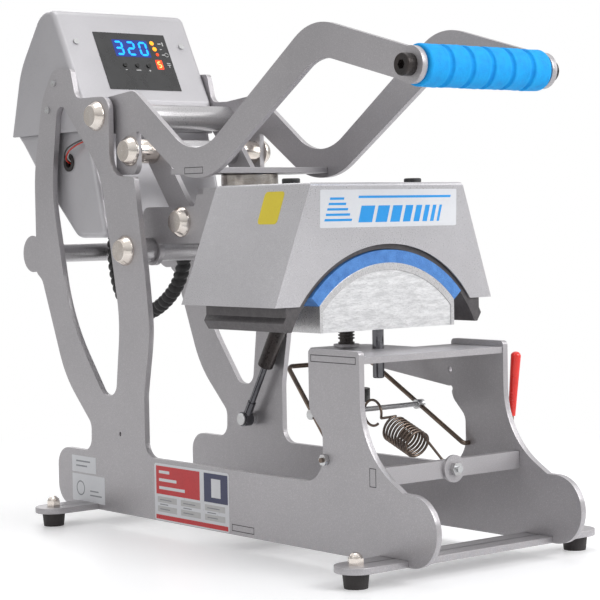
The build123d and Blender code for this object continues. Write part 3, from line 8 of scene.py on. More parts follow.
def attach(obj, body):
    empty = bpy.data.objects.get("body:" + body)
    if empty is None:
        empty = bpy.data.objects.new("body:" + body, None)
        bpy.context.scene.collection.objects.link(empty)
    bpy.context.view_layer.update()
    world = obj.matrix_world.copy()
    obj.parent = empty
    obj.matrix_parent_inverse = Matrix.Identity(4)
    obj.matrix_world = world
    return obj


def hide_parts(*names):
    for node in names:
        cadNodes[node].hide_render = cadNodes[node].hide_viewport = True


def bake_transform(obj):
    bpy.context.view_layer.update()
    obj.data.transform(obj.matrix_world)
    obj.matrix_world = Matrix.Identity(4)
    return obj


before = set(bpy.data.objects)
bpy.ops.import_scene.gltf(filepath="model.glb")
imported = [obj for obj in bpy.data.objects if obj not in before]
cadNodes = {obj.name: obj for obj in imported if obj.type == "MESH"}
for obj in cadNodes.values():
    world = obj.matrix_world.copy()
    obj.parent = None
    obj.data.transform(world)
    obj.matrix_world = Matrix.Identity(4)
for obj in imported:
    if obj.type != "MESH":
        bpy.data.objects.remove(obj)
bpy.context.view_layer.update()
mm = 0.001
footprintMiddle = 6.0  # the drawing's Y at the middle of the footprint


def at(x, y, z):
    # a drawing point in millimetres, in metres from the middle of the footprint
    return (x * mm, (y - footprintMiddle) * mm, z * mm)


def atMany(points):
    # the same for an array of points
    grid = np.asarray(points, float) - np.array((0.0, footprintMiddle, 0.0))
    return grid * mm


# ---- camera
camera = {"spot": (-1.2197, -1.5446, 0.3189), "yaw": 39.282, "drop": 2.456, "roll": -1.003, "focal": 1946.9}


def aimCamera(values):
    # forward from yaw and drop, then right and up turned by the roll
    # focal is in pixels of a 600 pixel frame
    yaw, drop, roll = (math.radians(values[key]) for key in ("yaw", "drop", "roll"))
    forward = Vector((math.cos(drop) * math.sin(yaw), math.cos(drop) * math.cos(yaw), -math.sin(drop)))
    flatRight = Vector((math.cos(yaw), -math.sin(yaw), 0.0))
    flatUp = flatRight.cross(forward)
    right = flatRight * math.cos(roll) + flatUp * math.sin(roll)
    up = flatUp * math.cos(roll) - flatRight * math.sin(roll)
    lens = bpy.data.cameras.new("camera")
    lens.sensor_width = 36.0
    lens.lens = values["focal"] * 36.0 / 600.0
    lens.clip_start = 0.05
    lens.clip_end = 50.0
    holder = bpy.data.objects.new("camera", lens)
    bpy.context.scene.collection.objects.link(holder)
    turn = Matrix((right, up, -forward)).transposed().to_4x4()
    holder.matrix_world = Matrix.Translation(values["spot"]) @ turn
    bpy.context.scene.camera = holder


aimCamera(camera)
print("camera placed")


# ---- shared shader effects
def newGroup(name, inputs, outputs):
    group = bpy.data.node_groups.new(name, "ShaderNodeTree")
    for label, kind, value in inputs:
        socket = group.interface.new_socket(name=label, in_out="INPUT", socket_type=kind)
        if value is not None:
            socket.default_value = value
    for label, kind in outputs:
        group.interface.new_socket(name=label, in_out="OUTPUT", socket_type=kind)
    return group, group.nodes.new("NodeGroupInput"), group.nodes.new("NodeGroupOutput")


def wire(tree, source, target):
    tree.links.new(source, target)


def noiseNode(tree, place, scale, detail=2.0, rough=0.5):
    node = tree.nodes.new("ShaderNodeTexNoise")
    node.inputs["Scale"].default_value = scale
    node.inputs["Detail"].default_value = detail
    node.inputs["Roughness"].default_value = rough
    wire(tree, place, node.inputs["Vector"])
    return node.outputs["Fac"]


def rangeNode(tree, value, low, high, toLow=0.0, toHigh=1.0):
    node = tree.nodes.new("ShaderNodeMapRange")
    for key, number in (("From Min", low), ("From Max", high), ("To Min", toLow), ("To Max", toHigh)):
        node.inputs[key].default_value = number
    wire(tree, value, node.inputs["Value"])
    return node.outputs["Result"]


def sumNode(tree, kind, first, second):
    node = tree.nodes.new("ShaderNodeMath")
    node.operation = kind
    for socket, value in zip(node.inputs, (first, second)):
        if isinstance(value, (int, float)):
            socket.default_value = value
        else:
            wire(tree, value, socket)
    return node.outputs[0]


def mixNode(tree, share, first, second, kind="MIX"):
    node = tree.nodes.new("ShaderNodeMix")
    node.data_type = "RGBA"
    node.blend_type = kind
    for socket, value in ((node.inputs[0], share), (node.inputs[6], first), (node.inputs[7], second)):
        if isinstance(value, (int, float)):
            socket.default_value = value
        elif isinstance(value, tuple):
            socket.default_value = value
        else:
            wire(tree, value, socket)
    return node.outputs[2]


def scaledNoise(tree, start, sizeSocket, factor, detail=2.0, rough=0.5):
    # a noise whose scale is the group's size input times a factor
    node = tree.nodes.new("ShaderNodeTexNoise")
    node.inputs["Detail"].default_value = detail
    node.inputs["Roughness"].default_value = rough
    wire(tree, start.outputs["Place"], node.inputs["Vector"])
    wire(tree, sumNode(tree, "MULTIPLY", sizeSocket, factor), node.inputs["Scale"])
    return node.outputs["Fac"]


skinOutputs = [("Color", "NodeSocketColor"), ("Roughness", "NodeSocketFloat"), ("Height", "NodeSocketFloat")]
skinInputs = [("Place", "NodeSocketVector", None), ("Base", "NodeSocketColor", (0.5, 0.5, 0.5, 1)),
              ("Second", "NodeSocketColor", (0.7, 0.7, 0.7, 1)), ("Size", "NodeSocketFloat", 900.0),
              ("Amount", "NodeSocketFloat", 0.5), ("Matte", "NodeSocketFloat", 0.45)]


def buildFlakeCoat():
    # powder coat: fine bright flakes over a base, slow tone changes, an orange-peel height
    tree, start, end = newGroup("flakeCoat", skinInputs, skinOutputs)
    size = start.outputs["Size"]
    flake = rangeNode(tree, scaledNoise(tree, start, size, 1.0, 1.0), 0.5, 0.72)
    slow = noiseNode(tree, start.outputs["Place"], 9.0, 3.0)
    peel = scaledNoise(tree, start, size, 0.45, 1.0)
    tone = mixNode(tree, sumNode(tree, "MULTIPLY", flake, start.outputs["Amount"]),
                   start.outputs["Base"], start.outputs["Second"])
    shade = rangeNode(tree, slow, 0.3, 0.7, 0.93, 1.05)
    grey = tree.nodes.new("ShaderNodeCombineColor")
    for socket in grey.inputs[:3]:
        wire(tree, shade, socket)
    wire(tree, mixNode(tree, 1.0, tone, grey.outputs[0], "MULTIPLY"), end.inputs["Color"])
    rough = sumNode(tree, "SUBTRACT", start.outputs["Matte"], sumNode(tree, "MULTIPLY", flake, 0.12))
    wire(tree, sumNode(tree, "ADD", rough, rangeNode(tree, slow, 0.3, 0.7, -0.03, 0.04)),
         end.inputs["Roughness"])
    wire(tree, sumNode(tree, "ADD", peel, sumNode(tree, "MULTIPLY", flake, 0.3)), end.inputs["Height"])
    return tree


def buildTurnedMetal():
    # bare metal: warm and cool patches, fine tool lines, small rough spots
    tree, start, end = newGroup("turnedMetal", skinInputs, skinOutputs)
    size = start.outputs["Size"]
    patch = noiseNode(tree, start.outputs["Place"], 55.0, 3.0)
    lines = scaledNoise(tree, start, size, 1.0, 3.0, 0.7)
    spots = rangeNode(tree, scaledNoise(tree, start, size, 0.3, 4.0, 0.7), 0.58, 0.75)
    share = sumNode(tree, "MULTIPLY", rangeNode(tree, patch, 0.35, 0.68), start.outputs["Amount"])
    wire(tree, mixNode(tree, share, start.outputs["Base"], start.outputs["Second"]), end.inputs["Color"])
    rough = sumNode(tree, "ADD", start.outputs["Matte"], rangeNode(tree, lines, 0.3, 0.7, -0.06, 0.06))
    wire(tree, sumNode(tree, "ADD", rough, sumNode(tree, "MULTIPLY", spots, 0.12)), end.inputs["Roughness"])
    wire(tree, sumNode(tree, "SUBTRACT", lines, sumNode(tree, "MULTIPLY", spots, 0.4)), end.inputs["Height"])
    return tree


def buildPoreSkin():
    # rubber, foam and moulded plastic: pores cut by a cell pattern, soft tone changes
    tree, start, end = newGroup("poreSkin", skinInputs, skinOutputs)
    size = start.outputs["Size"]
    cells = tree.nodes.new("ShaderNodeTexVoronoi")
    wire(tree, start.outputs["Place"], cells.inputs["Vector"])
    wire(tree, size, cells.inputs["Scale"])
    pores = rangeNode(tree, cells.outputs["Distance"], 0.05, 0.55)
    soft = scaledNoise(tree, start, size, 0.12, 4.0, 0.6)
    mix = sumNode(tree, "MULTIPLY", rangeNode(tree, sumNode(tree, "ADD", soft, sumNode(
        tree, "MULTIPLY", pores, 0.25)), 0.4, 0.85), start.outputs["Amount"])
    wire(tree, mixNode(tree, mix, start.outputs["Base"], start.outputs["Second"]), end.inputs["Color"])
    wire(tree, sumNode(tree, "ADD", start.outputs["Matte"], rangeNode(tree, soft, 0.3, 0.7, -0.08, 0.08)),
         end.inputs["Roughness"])
    wire(tree, sumNode(tree, "ADD", pores, soft), end.inputs["Height"])
    return tree


def buildCastSkin():
    # sand-cast or blasted metal: coarse and fine grain together, darker in the hollows
    tree, start, end = newGroup("castSkin", skinInputs, skinOutputs)
    size = start.outputs["Size"]
    coarse = scaledNoise(tree, start, size, 0.25, 3.0, 0.6)
    fine = scaledNoise(tree, start, size, 1.0, 5.0, 0.75)
    both = sumNode(tree, "ADD", sumNode(tree, "MULTIPLY", coarse, 0.5), sumNode(tree, "MULTIPLY", fine, 0.5))
    share = sumNode(tree, "MULTIPLY", rangeNode(tree, both, 0.4, 0.62), start.outputs["Amount"])
    wire(tree, mixNode(tree, share, start.outputs["Base"], start.outputs["Second"]), end.inputs["Color"])
    wire(tree, sumNode(tree, "ADD", start.outputs["Matte"], rangeNode(tree, fine, 0.3, 0.7, 0.08, -0.08)),
         end.inputs["Roughness"])
    wire(tree, both, end.inputs["Height"])
    return tree


skins = {"coat": buildFlakeCoat(), "metal": buildTurnedMetal(), "pore": buildPoreSkin(),
         "cast": buildCastSkin()}


def finishOf(name, skin, base, second, size, amount, matte, bump, metallic=0.0, stretch=(1, 1, 1), **plain):
    # one material: a skin group on Object coordinates, feeding colour, roughness and a bump
    material = bpy.data.materials.new(name)
    material.use_nodes = True
    tree = material.node_tree
    shader = tree.nodes["Principled BSDF"]
    shader.inputs["Metallic"].default_value = metallic
    for label, value in plain.items():
        shader.inputs[label.replace("_", " ")].default_value = value
    where = tree.nodes.new("ShaderNodeTexCoord")
    stretcher = tree.nodes.new("ShaderNodeMapping")
    stretcher.inputs["Scale"].default_value = stretch
    wire(tree, where.outputs["Object"], stretcher.inputs["Vector"])
    group = tree.nodes.new("ShaderNodeGroup")
    group.node_tree = skins[skin]
    wire(tree, stretcher.outputs[0], group.inputs["Place"])
    group.inputs["Base"].default_value = (*base, 1)
    group.inputs["Second"].default_value = (*second, 1)
    group.inputs["Size"].default_value = size
    group.inputs["Amount"].default_value = amount
    group.inputs["Matte"].default_value = matte
    raiser = tree.nodes.new("ShaderNodeBump")
    raiser.inputs["Strength"].default_value = bump[0]
    raiser.inputs["Distance"].default_value = bump[1]
    wire(tree, group.outputs["Height"], raiser.inputs["Height"])
    wire(tree, group.outputs["Color"], shader.inputs["Base Color"])
    wire(tree, group.outputs["Roughness"], shader.inputs["Roughness"])
    wire(tree, raiser.outputs[0], shader.inputs["Normal"])
    return material


looks = {
    "frameCoat": finishOf("frameCoat", "coat", (0.43, 0.415, 0.43), (0.68, 0.67, 0.68), 1500, 0.4, 0.42,
                          (0.16, 0.0002), 0.6),
    "coverCoat": finishOf("coverCoat", "coat", (0.52, 0.51, 0.53), (0.86, 0.85, 0.87), 1100, 0.55, 0.36,
                          (0.18, 0.0002), 0.65),
    "boxCoat": finishOf("boxCoat", "coat", (0.5, 0.49, 0.51), (0.62, 0.61, 0.63), 1700, 0.35, 0.4,
                        (0.1, 0.0002), 0.4),
    "tubeCoat": finishOf("tubeCoat", "coat", (0.46, 0.45, 0.46), (0.74, 0.73, 0.74), 1100, 0.5, 0.36,
                         (0.2, 0.0002), 0.7),
    "nickel": finishOf("nickel", "metal", (0.74, 0.69, 0.64), (0.62, 0.53, 0.46), 500, 0.5, 0.17,
                       (0.03, 0.0001), 1.0),
    "magnetSteel": finishOf("magnetSteel", "metal", (0.5, 0.47, 0.44), (0.36, 0.31, 0.27), 420, 0.6, 0.2,
                            (0.05, 0.0001), 1.0, (1, 1, 5)),
    "darkChrome": finishOf("darkChrome", "metal", (0.12, 0.12, 0.13), (0.2, 0.2, 0.21), 500, 0.5, 0.12,
                           (0.02, 0.0001), 1.0),
    # painted shade: near-black for the hairline frames that stand in for the shade in the clearance gaps
    # round tabs
    "seamDark": finishOf("seamDark", "pore", (0.05, 0.047, 0.05), (0.09, 0.085, 0.09), 700, 0.5, 0.6,
                         (0.05, 0.0001)),
    "zinc": finishOf("zinc", "metal", (0.6, 0.61, 0.62), (0.45, 0.43, 0.42), 700, 0.6, 0.3,
                     (0.12, 0.0001), 1.0, (1, 1, 4)),
    "blackSteel": finishOf("blackSteel", "metal", (0.035, 0.033, 0.033), (0.07, 0.05, 0.045), 600, 0.5, 0.3,
                           (0.1, 0.0001), 0.5, (1, 1, 0.4)),
    "oiledSteel": finishOf("oiledSteel", "metal", (0.16, 0.13, 0.115), (0.28, 0.2, 0.14), 900, 0.7, 0.32,
                           (0.15, 0.0001), 1.0),
    "castGrey": finishOf("castGrey", "cast", (0.09, 0.085, 0.088), (0.14, 0.13, 0.135), 700, 0.7, 0.42,
                         (0.35, 0.0003), 0.5),
    "blastedSilver": finishOf("blastedSilver", "cast", (0.62, 0.62, 0.63), (0.95, 0.95, 0.96), 900, 0.9,
                              0.33, (0.6, 0.0004), 0.5, (0.25, 0.6, 1.1)),
    "shoeSilver": finishOf("shoeSilver", "cast", (0.6, 0.59, 0.6), (0.78, 0.78, 0.79), 900, 0.6, 0.3,
                           (0.25, 0.0002), 0.8),
    "foamBlue": finishOf("foamBlue", "pore", (0.003, 0.3, 0.8), (0.012, 0.43, 0.93), 1100, 0.8, 0.72,
                         (0.5, 0.0004), Specular_IOR_Level=0.3),
    "padBlue": finishOf("padBlue", "pore", (0.03, 0.14, 0.45), (0.1, 0.29, 0.68), 900, 0.9, 0.66,
                        (0.6, 0.0005)),
    "leverRed": finishOf("leverRed", "pore", (0.75, 0.012, 0.006), (0.9, 0.03, 0.015), 300, 0.5, 0.28,
                         (0.1, 0.0002), Coat_Weight=0.3),
    "footRubber": finishOf("footRubber", "pore", (0.016, 0.013, 0.013), (0.035, 0.03, 0.03), 900, 0.7, 0.6,
                           (0.3, 0.0003)),
    "loomBlack": finishOf("loomBlack", "pore", (0.012, 0.011, 0.012), (0.03, 0.029, 0.03), 700, 0.6, 0.5,
                          (0.25, 0.0003)),
    "mouldedBlack": finishOf("mouldedBlack", "pore", (0.016, 0.016, 0.017), (0.032, 0.032, 0.033), 1300, 0.5,
                             0.45, (0.2, 0.0002)),
    "panelBlack": finishOf("panelBlack", "pore", (0.012, 0.012, 0.013), (0.02, 0.02, 0.022), 500, 0.5, 0.3,
                           (0.06, 0.0002), Coat_Weight=0.4, Coat_Roughness=0.12),
    "buttonBlack": finishOf("buttonBlack", "pore", (0.01, 0.01, 0.01), (0.018, 0.018, 0.018), 600, 0.5, 0.22,
                            (0.06, 0.0002)),
    "boardGreen": finishOf("boardGreen", "pore", (0.01, 0.1, 0.04), (0.02, 0.16, 0.07), 500, 0.8, 0.4,
                           (0.2, 0.0002)),
    "stickerWhite": finishOf("stickerWhite", "pore", (0.7, 0.71, 0.74), (0.78, 0.79, 0.81), 300, 0.4, 0.35,
                             (0.05, 0.0002), Coat_Weight=0.25),
    "stickerYellow": finishOf("stickerYellow", "pore", (0.78, 0.62, 0.01), (0.86, 0.7, 0.02), 300, 0.5, 0.35,
                              (0.05, 0.0002), Coat_Weight=0.25),
    "inkBlue": finishOf("inkBlue", "pore", (0.01, 0.3, 0.76), (0.02, 0.36, 0.84), 400, 0.5, 0.35,
                        (0.05, 0.0002)),
    "inkNavy": finishOf("inkNavy", "pore", (0.03, 0.035, 0.09), (0.06, 0.065, 0.14), 400, 0.5, 0.35,
                        (0.05, 0.0002)),
    "inkRed": finishOf("inkRed", "pore", (0.55, 0.02, 0.025), (0.68, 0.04, 0.045), 400, 0.5, 0.35,
                       (0.05, 0.0002)),
    "inkGrey": finishOf("inkGrey", "pore", (0.24, 0.25, 0.27), (0.32, 0.33, 0.35), 400, 0.5, 0.4,
                        (0.05, 0.0002)),
    "inkPale": finishOf("inkPale", "pore", (0.5, 0.5, 0.5), (0.62, 0.62, 0.62), 400, 0.5, 0.4,
                        (0.05, 0.0002)),
    "lampBlue": finishOf("lampBlue", "pore", (0.0, 0.16, 0.8), (0.0, 0.22, 0.9), 400, 0.5, 0.4,
                         (0.02, 0.0002), Emission_Color=(0.0, 0.34, 1.0, 1), Emission_Strength=1.6),
    "lampDeep": finishOf("lampDeep", "pore", (0.0, 0.01, 0.07), (0.0, 0.014, 0.1), 400, 0.5, 0.35,
                         (0.02, 0.0002), Emission_Color=(0.0, 0.02, 0.3, 1), Emission_Strength=0.7),
    "lampAmber": finishOf("lampAmber", "pore", (0.9, 0.25, 0.01), (1.0, 0.4, 0.02), 400, 0.5, 0.4,
                          (0.02, 0.0002), Emission_Color=(1.0, 0.3, 0.01, 1), Emission_Strength=1.3),
    "lampRed": finishOf("lampRed", "pore", (0.8, 0.03, 0.0), (0.9, 0.06, 0.0), 400, 0.5, 0.4,
                        (0.02, 0.0002), Emission_Color=(1.0, 0.05, 0.0, 1), Emission_Strength=1.1),
    "lampGlow": finishOf("lampGlow", "pore", (1.0, 0.45, 0.1), (1.0, 0.55, 0.2), 400, 0.5, 0.4,
                         (0.02, 0.0002), Emission_Color=(1.0, 0.5, 0.15, 1), Emission_Strength=1.5),
    "wireRed": finishOf("wireRed", "pore", (0.5, 0.02, 0.01), (0.6, 0.04, 0.02), 400, 0.5, 0.4,
                        (0.05, 0.0002)),
}
print("finishes made:", len(looks))

nodeLooks = {
    "frameCoat": ["side_plate_left", "side_plate_right", "foot_plates", "mid_cross_plate",
                  "platen_support_plate", "handle_plate_left", "handle_plate_right",
                  "head_arm_left", "head_arm_right",
                  "magnet_bridge", "toggle_links", "strike_plate", "front_crossbar"],
    "coverCoat": ["head_cover"],
    "boxCoat": ["control_box_shell", "control_box_tray"],
    "tubeCoat": ["handle_torque_tube", "knee_tube", "arm_pivot_tube", "rear_cross_tube", "pivot_spacers"],
    "nickel": ["foot_acorn_bolts", "frame_pivot_bolts", "knee_bolts", "link_bolts"],
    "magnetSteel": ["electromagnet"],
    "darkChrome": ["guide_pin", "gas_strut_rod"],
    "zinc": ["crossbar_screw", "bail_fittings", "head_mounts", "strut_foot_stud", "strut_top_stud",
             "grip_rod", "control_box_screws"],
    "blackSteel": ["height_screw", "gas_strut_tube", "grip_bolts"],
    "oiledSteel": ["bail_wire", "bail_spring"],
    "castGrey": ["heater_casting"],
    "blastedSilver": ["platen_core"],
    "shoeSilver": ["platen_shoe"],
    "foamBlue": ["foam_grip"],
    "padBlue": ["platen_pad"],
    "leverRed": ["lever_grip"],
    "footRubber": ["rubber_feet", "wire_grommet"],
    "mouldedBlack": ["pressure_knob", "head_cable_gland", "tray_cable_gland", "cover_plugs", "power_inlet",
                     "power_rocker"],
    "loomBlack": ["cable_loom"],
    "panelBlack": ["display_panel"],
    "buttonBlack": ["button_down", "button_mode", "button_up"],
    "boardGreen": ["circuit_boards"],
}
edgeWidths = {"frameCoat": 0.5, "coverCoat": 0.5, "nickel": 0.3, "castGrey": 0.5,
              "shoeSilver": 0.4, "blastedSilver": 0.4, "zinc": 0.2, "mouldedBlack": 0.3, "tubeCoat": 0.3}


def dressNode(node, look):
    # the material, and a small round on sharp edges where the finish has one
    item = cadNodes[node]
    item.data.materials.clear()
    item.data.materials.append(looks[look])
    if look in edgeWidths:
        joiner = item.modifiers.new("joinCorners", "WELD")
        joiner.merge_threshold = 0.00001
        rounder = item.modifiers.new("softEdges", "BEVEL")
        rounder.width = edgeWidths[look] * mm
        rounder.segments = 2
        rounder.limit_method = "ANGLE"
        rounder.angle_limit = math.radians(40)
        rounder.use_clamp_overlap = True
        rounder.harden_normals = True


for look, members in nodeLooks.items():
    for node in members:
        dressNode(node, look)
print("solids dressed:", sum(len(members) for members in nodeLooks.values()))


# ---- surfaces worked out as arrays
def gridFaces(rows, columns, closeRows=False, closeColumns=False):
    # quads between neighbouring points of a rows by columns grid, wrapping where a side is closed
    i = np.arange(rows if closeRows else rows - 1)
    j = np.arange(columns if closeColumns else columns - 1)
    a, b = np.meshgrid(i, j, indexing="ij")
    nextA, nextB = (a + 1) % rows, (b + 1) % columns
    return np.stack([a * columns + b, nextA * columns + b, nextA * columns + nextB, a * columns + nextB],
                    axis=-1).reshape(-1, 4)


def makePiece(name, points, faces, look, body=None, smooth=True, indices=None):
    # a mesh from arrays of points and faces, with its looks, smooth flags and body
    mesh = bpy.data.meshes.new(name)
    mesh.from_pydata(np.asarray(points, float).tolist(), [], [list(map(int, face)) for face in faces])
    for item in ([look] if isinstance(look, str) else look):
        mesh.materials.append(looks[item])
    if indices is not None:
        mesh.polygons.foreach_set("material_index", np.asarray(indices, np.int32))
    mesh.polygons.foreach_set("use_smooth", np.full(len(mesh.polygons), smooth))
    mesh.update()
    mesh.validate()
    piece = bpy.data.objects.new(name, mesh)
    bpy.context.scene.collection.objects.link(piece)
    if body:
        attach(piece, body)
    return piece


def tubeAlong(path, radii, sides):
    # rings of the given radii across a path, each ring's start carried on from the one before without twist
    path = np.asarray(path, float)
    ahead = np.gradient(path, axis=0)
    ahead /= np.linalg.norm(ahead, axis=1, keepdims=True)
    first = np.empty_like(ahead)
    side = np.cross(ahead[0], (0.31, 0.17, 0.93))
    for place, way in enumerate(ahead):
        side = side - way * side.dot(way)
        side /= np.linalg.norm(side)
        first[place] = side
    second = np.cross(ahead, first)
    angle = np.linspace(0, 2 * np.pi, sides, endpoint=False)
    radii = np.broadcast_to(np.asarray(radii, float).reshape(len(path), -1), (len(path), sides))
    ring = (first[:, None, :] * np.cos(angle)[None, :, None]
            + second[:, None, :] * np.sin(angle)[None, :, None])
    points = path[:, None, :] + ring * radii[:, :, None]
    faces = gridFaces(len(path), sides, False, True)[:, ::-1]
    count = len(path) * sides
    points = np.vstack([points.reshape(-1, 3), path[:1], path[-1:]])
    column = np.arange(sides)
    head = np.stack([column, (column + 1) % sides, np.full(sides, count)], axis=1)
    tail = np.stack([(column + 1) % sides + count - sides, column + count - sides,
                     np.full(sides, count + 1)], axis=1)
    return points, [*faces.tolist(), *head.tolist(), *tail.tolist()]


def faceOut(piece):
    # recalculates the normals of a closed mesh so that they point outwards
    import bmesh
    shell = bmesh.new()
    shell.from_mesh(piece.data)
    bmesh.ops.recalc_face_normals(shell, faces=shell.faces)
    shell.to_mesh(piece.data)
    shell.free()
    piece.data.update()


# ---- cords
def routeCurve(name, points, resolution=24):
    # a smooth NURBS line with the route's points as its control points
    curve = bpy.data.curves.new(name, "CURVE")
    curve.dimensions = "3D"
    spline = curve.splines.new("NURBS")
    spline.points.add(len(points) - 1)
    for spot, point in zip(spline.points, points):
        spot.co = (*point, 1.0)
    spline.order_u = 3
    spline.use_endpoint_u = True
    spline.resolution_u = resolution
    holder = bpy.data.objects.new(name, curve)
    bpy.context.scene.collection.objects.link(holder)
    return holder


def linePoints(holder):
    # the spline's own points, from a mesh made of it with no bevel
    mesh = bpy.data.meshes.new_from_object(holder)
    raw = np.array([vertex.co[:] for vertex in mesh.vertices])
    bpy.data.meshes.remove(mesh)
    return raw


def evenPoints(raw, step):
    # points a fixed step apart along a line of points
    run = np.concatenate([[0.0], np.cumsum(np.linalg.norm(np.diff(raw, axis=0), axis=1))])
    spots = np.linspace(0.0, run[-1], max(4, int(run[-1] / step)))
    return np.stack([np.interp(spots, run, raw[:, k]) for k in range(3)], axis=1), spots


loom = {
    "route": [(267.4, 323.0), (279.3, 309.8), (279.0, 262.0), (262.0, 226.0), (224.0, 212.0), (182.0, 228.0),
              (150.0, 256.0), (141.0, 303.0), (112.0, 326.0), (62.0, 325.0), (16.0, 313.0), (-21.7, 313.0)],
    "radius": 8.0, "groove": 2.3, "pitch": 8.4, "sharpness": 0.6, "step": 0.6, "sides": 24,
    "bendFrom": (150, 256), "bendTo": (16, 313),
}


def makeLoom(values):
    # a hose wound from one rib: radius = outer minus groove times a sharp wave of (run / pitch - angle)
    holder = routeCurve("loomRoute", [at(0, y, z) for y, z in values["route"]])
    path, run = evenPoints(linePoints(holder), values["step"] * mm)
    bpy.data.objects.remove(holder)
    angle = np.arange(values["sides"]) / values["sides"]
    phase = run[:, None] / (values["pitch"] * mm) - angle[None, :]
    wave = np.abs(np.sin(np.pi * phase)) ** values["sharpness"]
    radii = (values["radius"] - values["groove"] * (1 - wave)) * mm
    points, faces = tubeAlong(path, radii, values["sides"])
    piece = makePiece("cableLoom", points, faces, "loomBlack")
    faceOut(piece)
    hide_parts("cable_loom")
    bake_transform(piece)
    return float(run[-1])


loomLength = makeLoom(loom)
print("loom length mm", round(loomLength / mm, 1))

signalWires = {
    "red": [(-79.2, 241.0, 380.2), (-86.6, 240.4, 382.0), (-89.0, 232.0, 392.0), (-88.0, 221.0, 397.5),
            (-86.5, 205.0, 402.0), (-84.0, 193.0, 405.0), (-78.0, 186.0, 407.0)],
    "dark": [(-79.2, 243.0, 381.6), (-87.2, 243.0, 384.0), (-90.4, 234.0, 394.5), (-89.6, 221.0, 400.0),
             (-87.4, 205.0, 404.2), (-84.0, 192.0, 407.0), (-78.0, 185.0, 409.0)],
    "pale": [(-79.2, 239.4, 382.2), (-86.0, 238.6, 384.6), (-87.4, 230.0, 394.0), (-86.4, 220.0, 399.6),
             (-85.2, 205.0, 405.0), (-83.0, 193.0, 408.5), (-78.0, 186.0, 411.0)],
    "radius": 0.8, "sides": 10, "step": 0.8,
}
wireLooks = {"red": "wireRed", "dark": "mouldedBlack", "pale": "inkPale"}


def makeWires(values):
    for colour, look in wireLooks.items():
        holder = routeCurve("wire_" + colour, [at(*point) for point in values[colour]])
        path, run = evenPoints(linePoints(holder), values["step"] * mm)
        bpy.data.objects.remove(holder)
        points, faces = tubeAlong(path, np.full(len(path), values["radius"] * mm), values["sides"])
        piece = makePiece("signalWire_" + colour, points, faces, look, "base")
        faceOut(piece)


makeWires(signalWires)
print("cords laid")

# ---- foam grip
foam = {"axis": (-303.0, 447.5), "half": 74.9, "radius": 19.0, "rings": 5, "ringHalf": 3.0, "ringDepth": 2.4,
        "endRound": 3.0, "around": 96, "along": 260, "bore": 9.3, "shoulder": 1.6, "shoulderRise": 0.21,
        "wobble": (0.12, 0.08), "shrink": 0.25}


def makeFoamGrip(values):
    # a turned sleeve: radius = outer less round grooves and rounded ends, with a slight hand-made wobble
    half = values["half"]
    x = np.linspace(-half, half, values["along"])
    spacing = 2 * half / (values["rings"] + 1)
    toRing = np.abs((x + half) / spacing - np.round((x + half) / spacing)) * spacing
    inner = (np.abs(x) < half - spacing / 2)
    dip = np.sqrt(np.clip(1 - (toRing / values["ringHalf"]) ** 2, 0, 1)) * values["ringDepth"] * inner
    lip = values["shoulder"]
    shoulder = np.exp(-((toRing - values["ringHalf"] - lip) / lip) ** 2) * values["shoulderRise"] * inner
    edge = np.clip((values["endRound"] - (half - np.abs(x))) / values["endRound"], 0, 1)
    endDip = values["endRound"] * (1 - np.sqrt(1 - edge ** 2))
    angle = np.linspace(0, 2 * np.pi, values["around"], endpoint=False)
    slow, quick = values["wobble"]
    wobble = slow * np.sin(3 * angle + x[:, None] / 9) + quick * np.sin(5 * angle - x[:, None] / 6)
    fullRadius = values["radius"] - values["shrink"]
    radius = fullRadius - dip[:, None] + shoulder[:, None] - endDip[:, None] + wobble
    y, z = values["axis"]
    across = np.broadcast_to(x[:, None], radius.shape)
    grid = np.stack([across, y + radius * np.cos(angle), z + radius * np.sin(angle)], axis=-1)
    # the end faces run in to the rod and close on the bore
    rims = []
    for side in (-1, 1):
        ring = np.stack([np.full(len(angle), side * half), y + values["bore"] * np.cos(angle),
                         z + values["bore"] * np.sin(angle)], axis=-1)
        rims.append(ring[None])
    grid = np.concatenate([rims[0], grid, rims[1]], axis=0)
    faces = gridFaces(len(grid), len(angle), True, True)
    piece = makePiece("foamGrip", atMany(grid.reshape(-1, 3)), faces, "foamBlue", "handle")
    faceOut(piece)
    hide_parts("foam_grip")


makeFoamGrip(foam)
print("grip turned")

# ---- bail spring
spring = {"axisStart": (-216.689, 105.302), "way": (0.929149, 0.369706), "coilLength": 37.0, "turns": 9.0,
          "mean": 12.3, "wire": 1.25, "studHook": (-249.0, 88.9, 5.5),
          "anchorRing": (-153.758, 131.296, 12.3),
          "step": 0.7, "sides": 12, "bendFrom": (-218, 104), "bendTo": (-166, 126), "softening": 7}


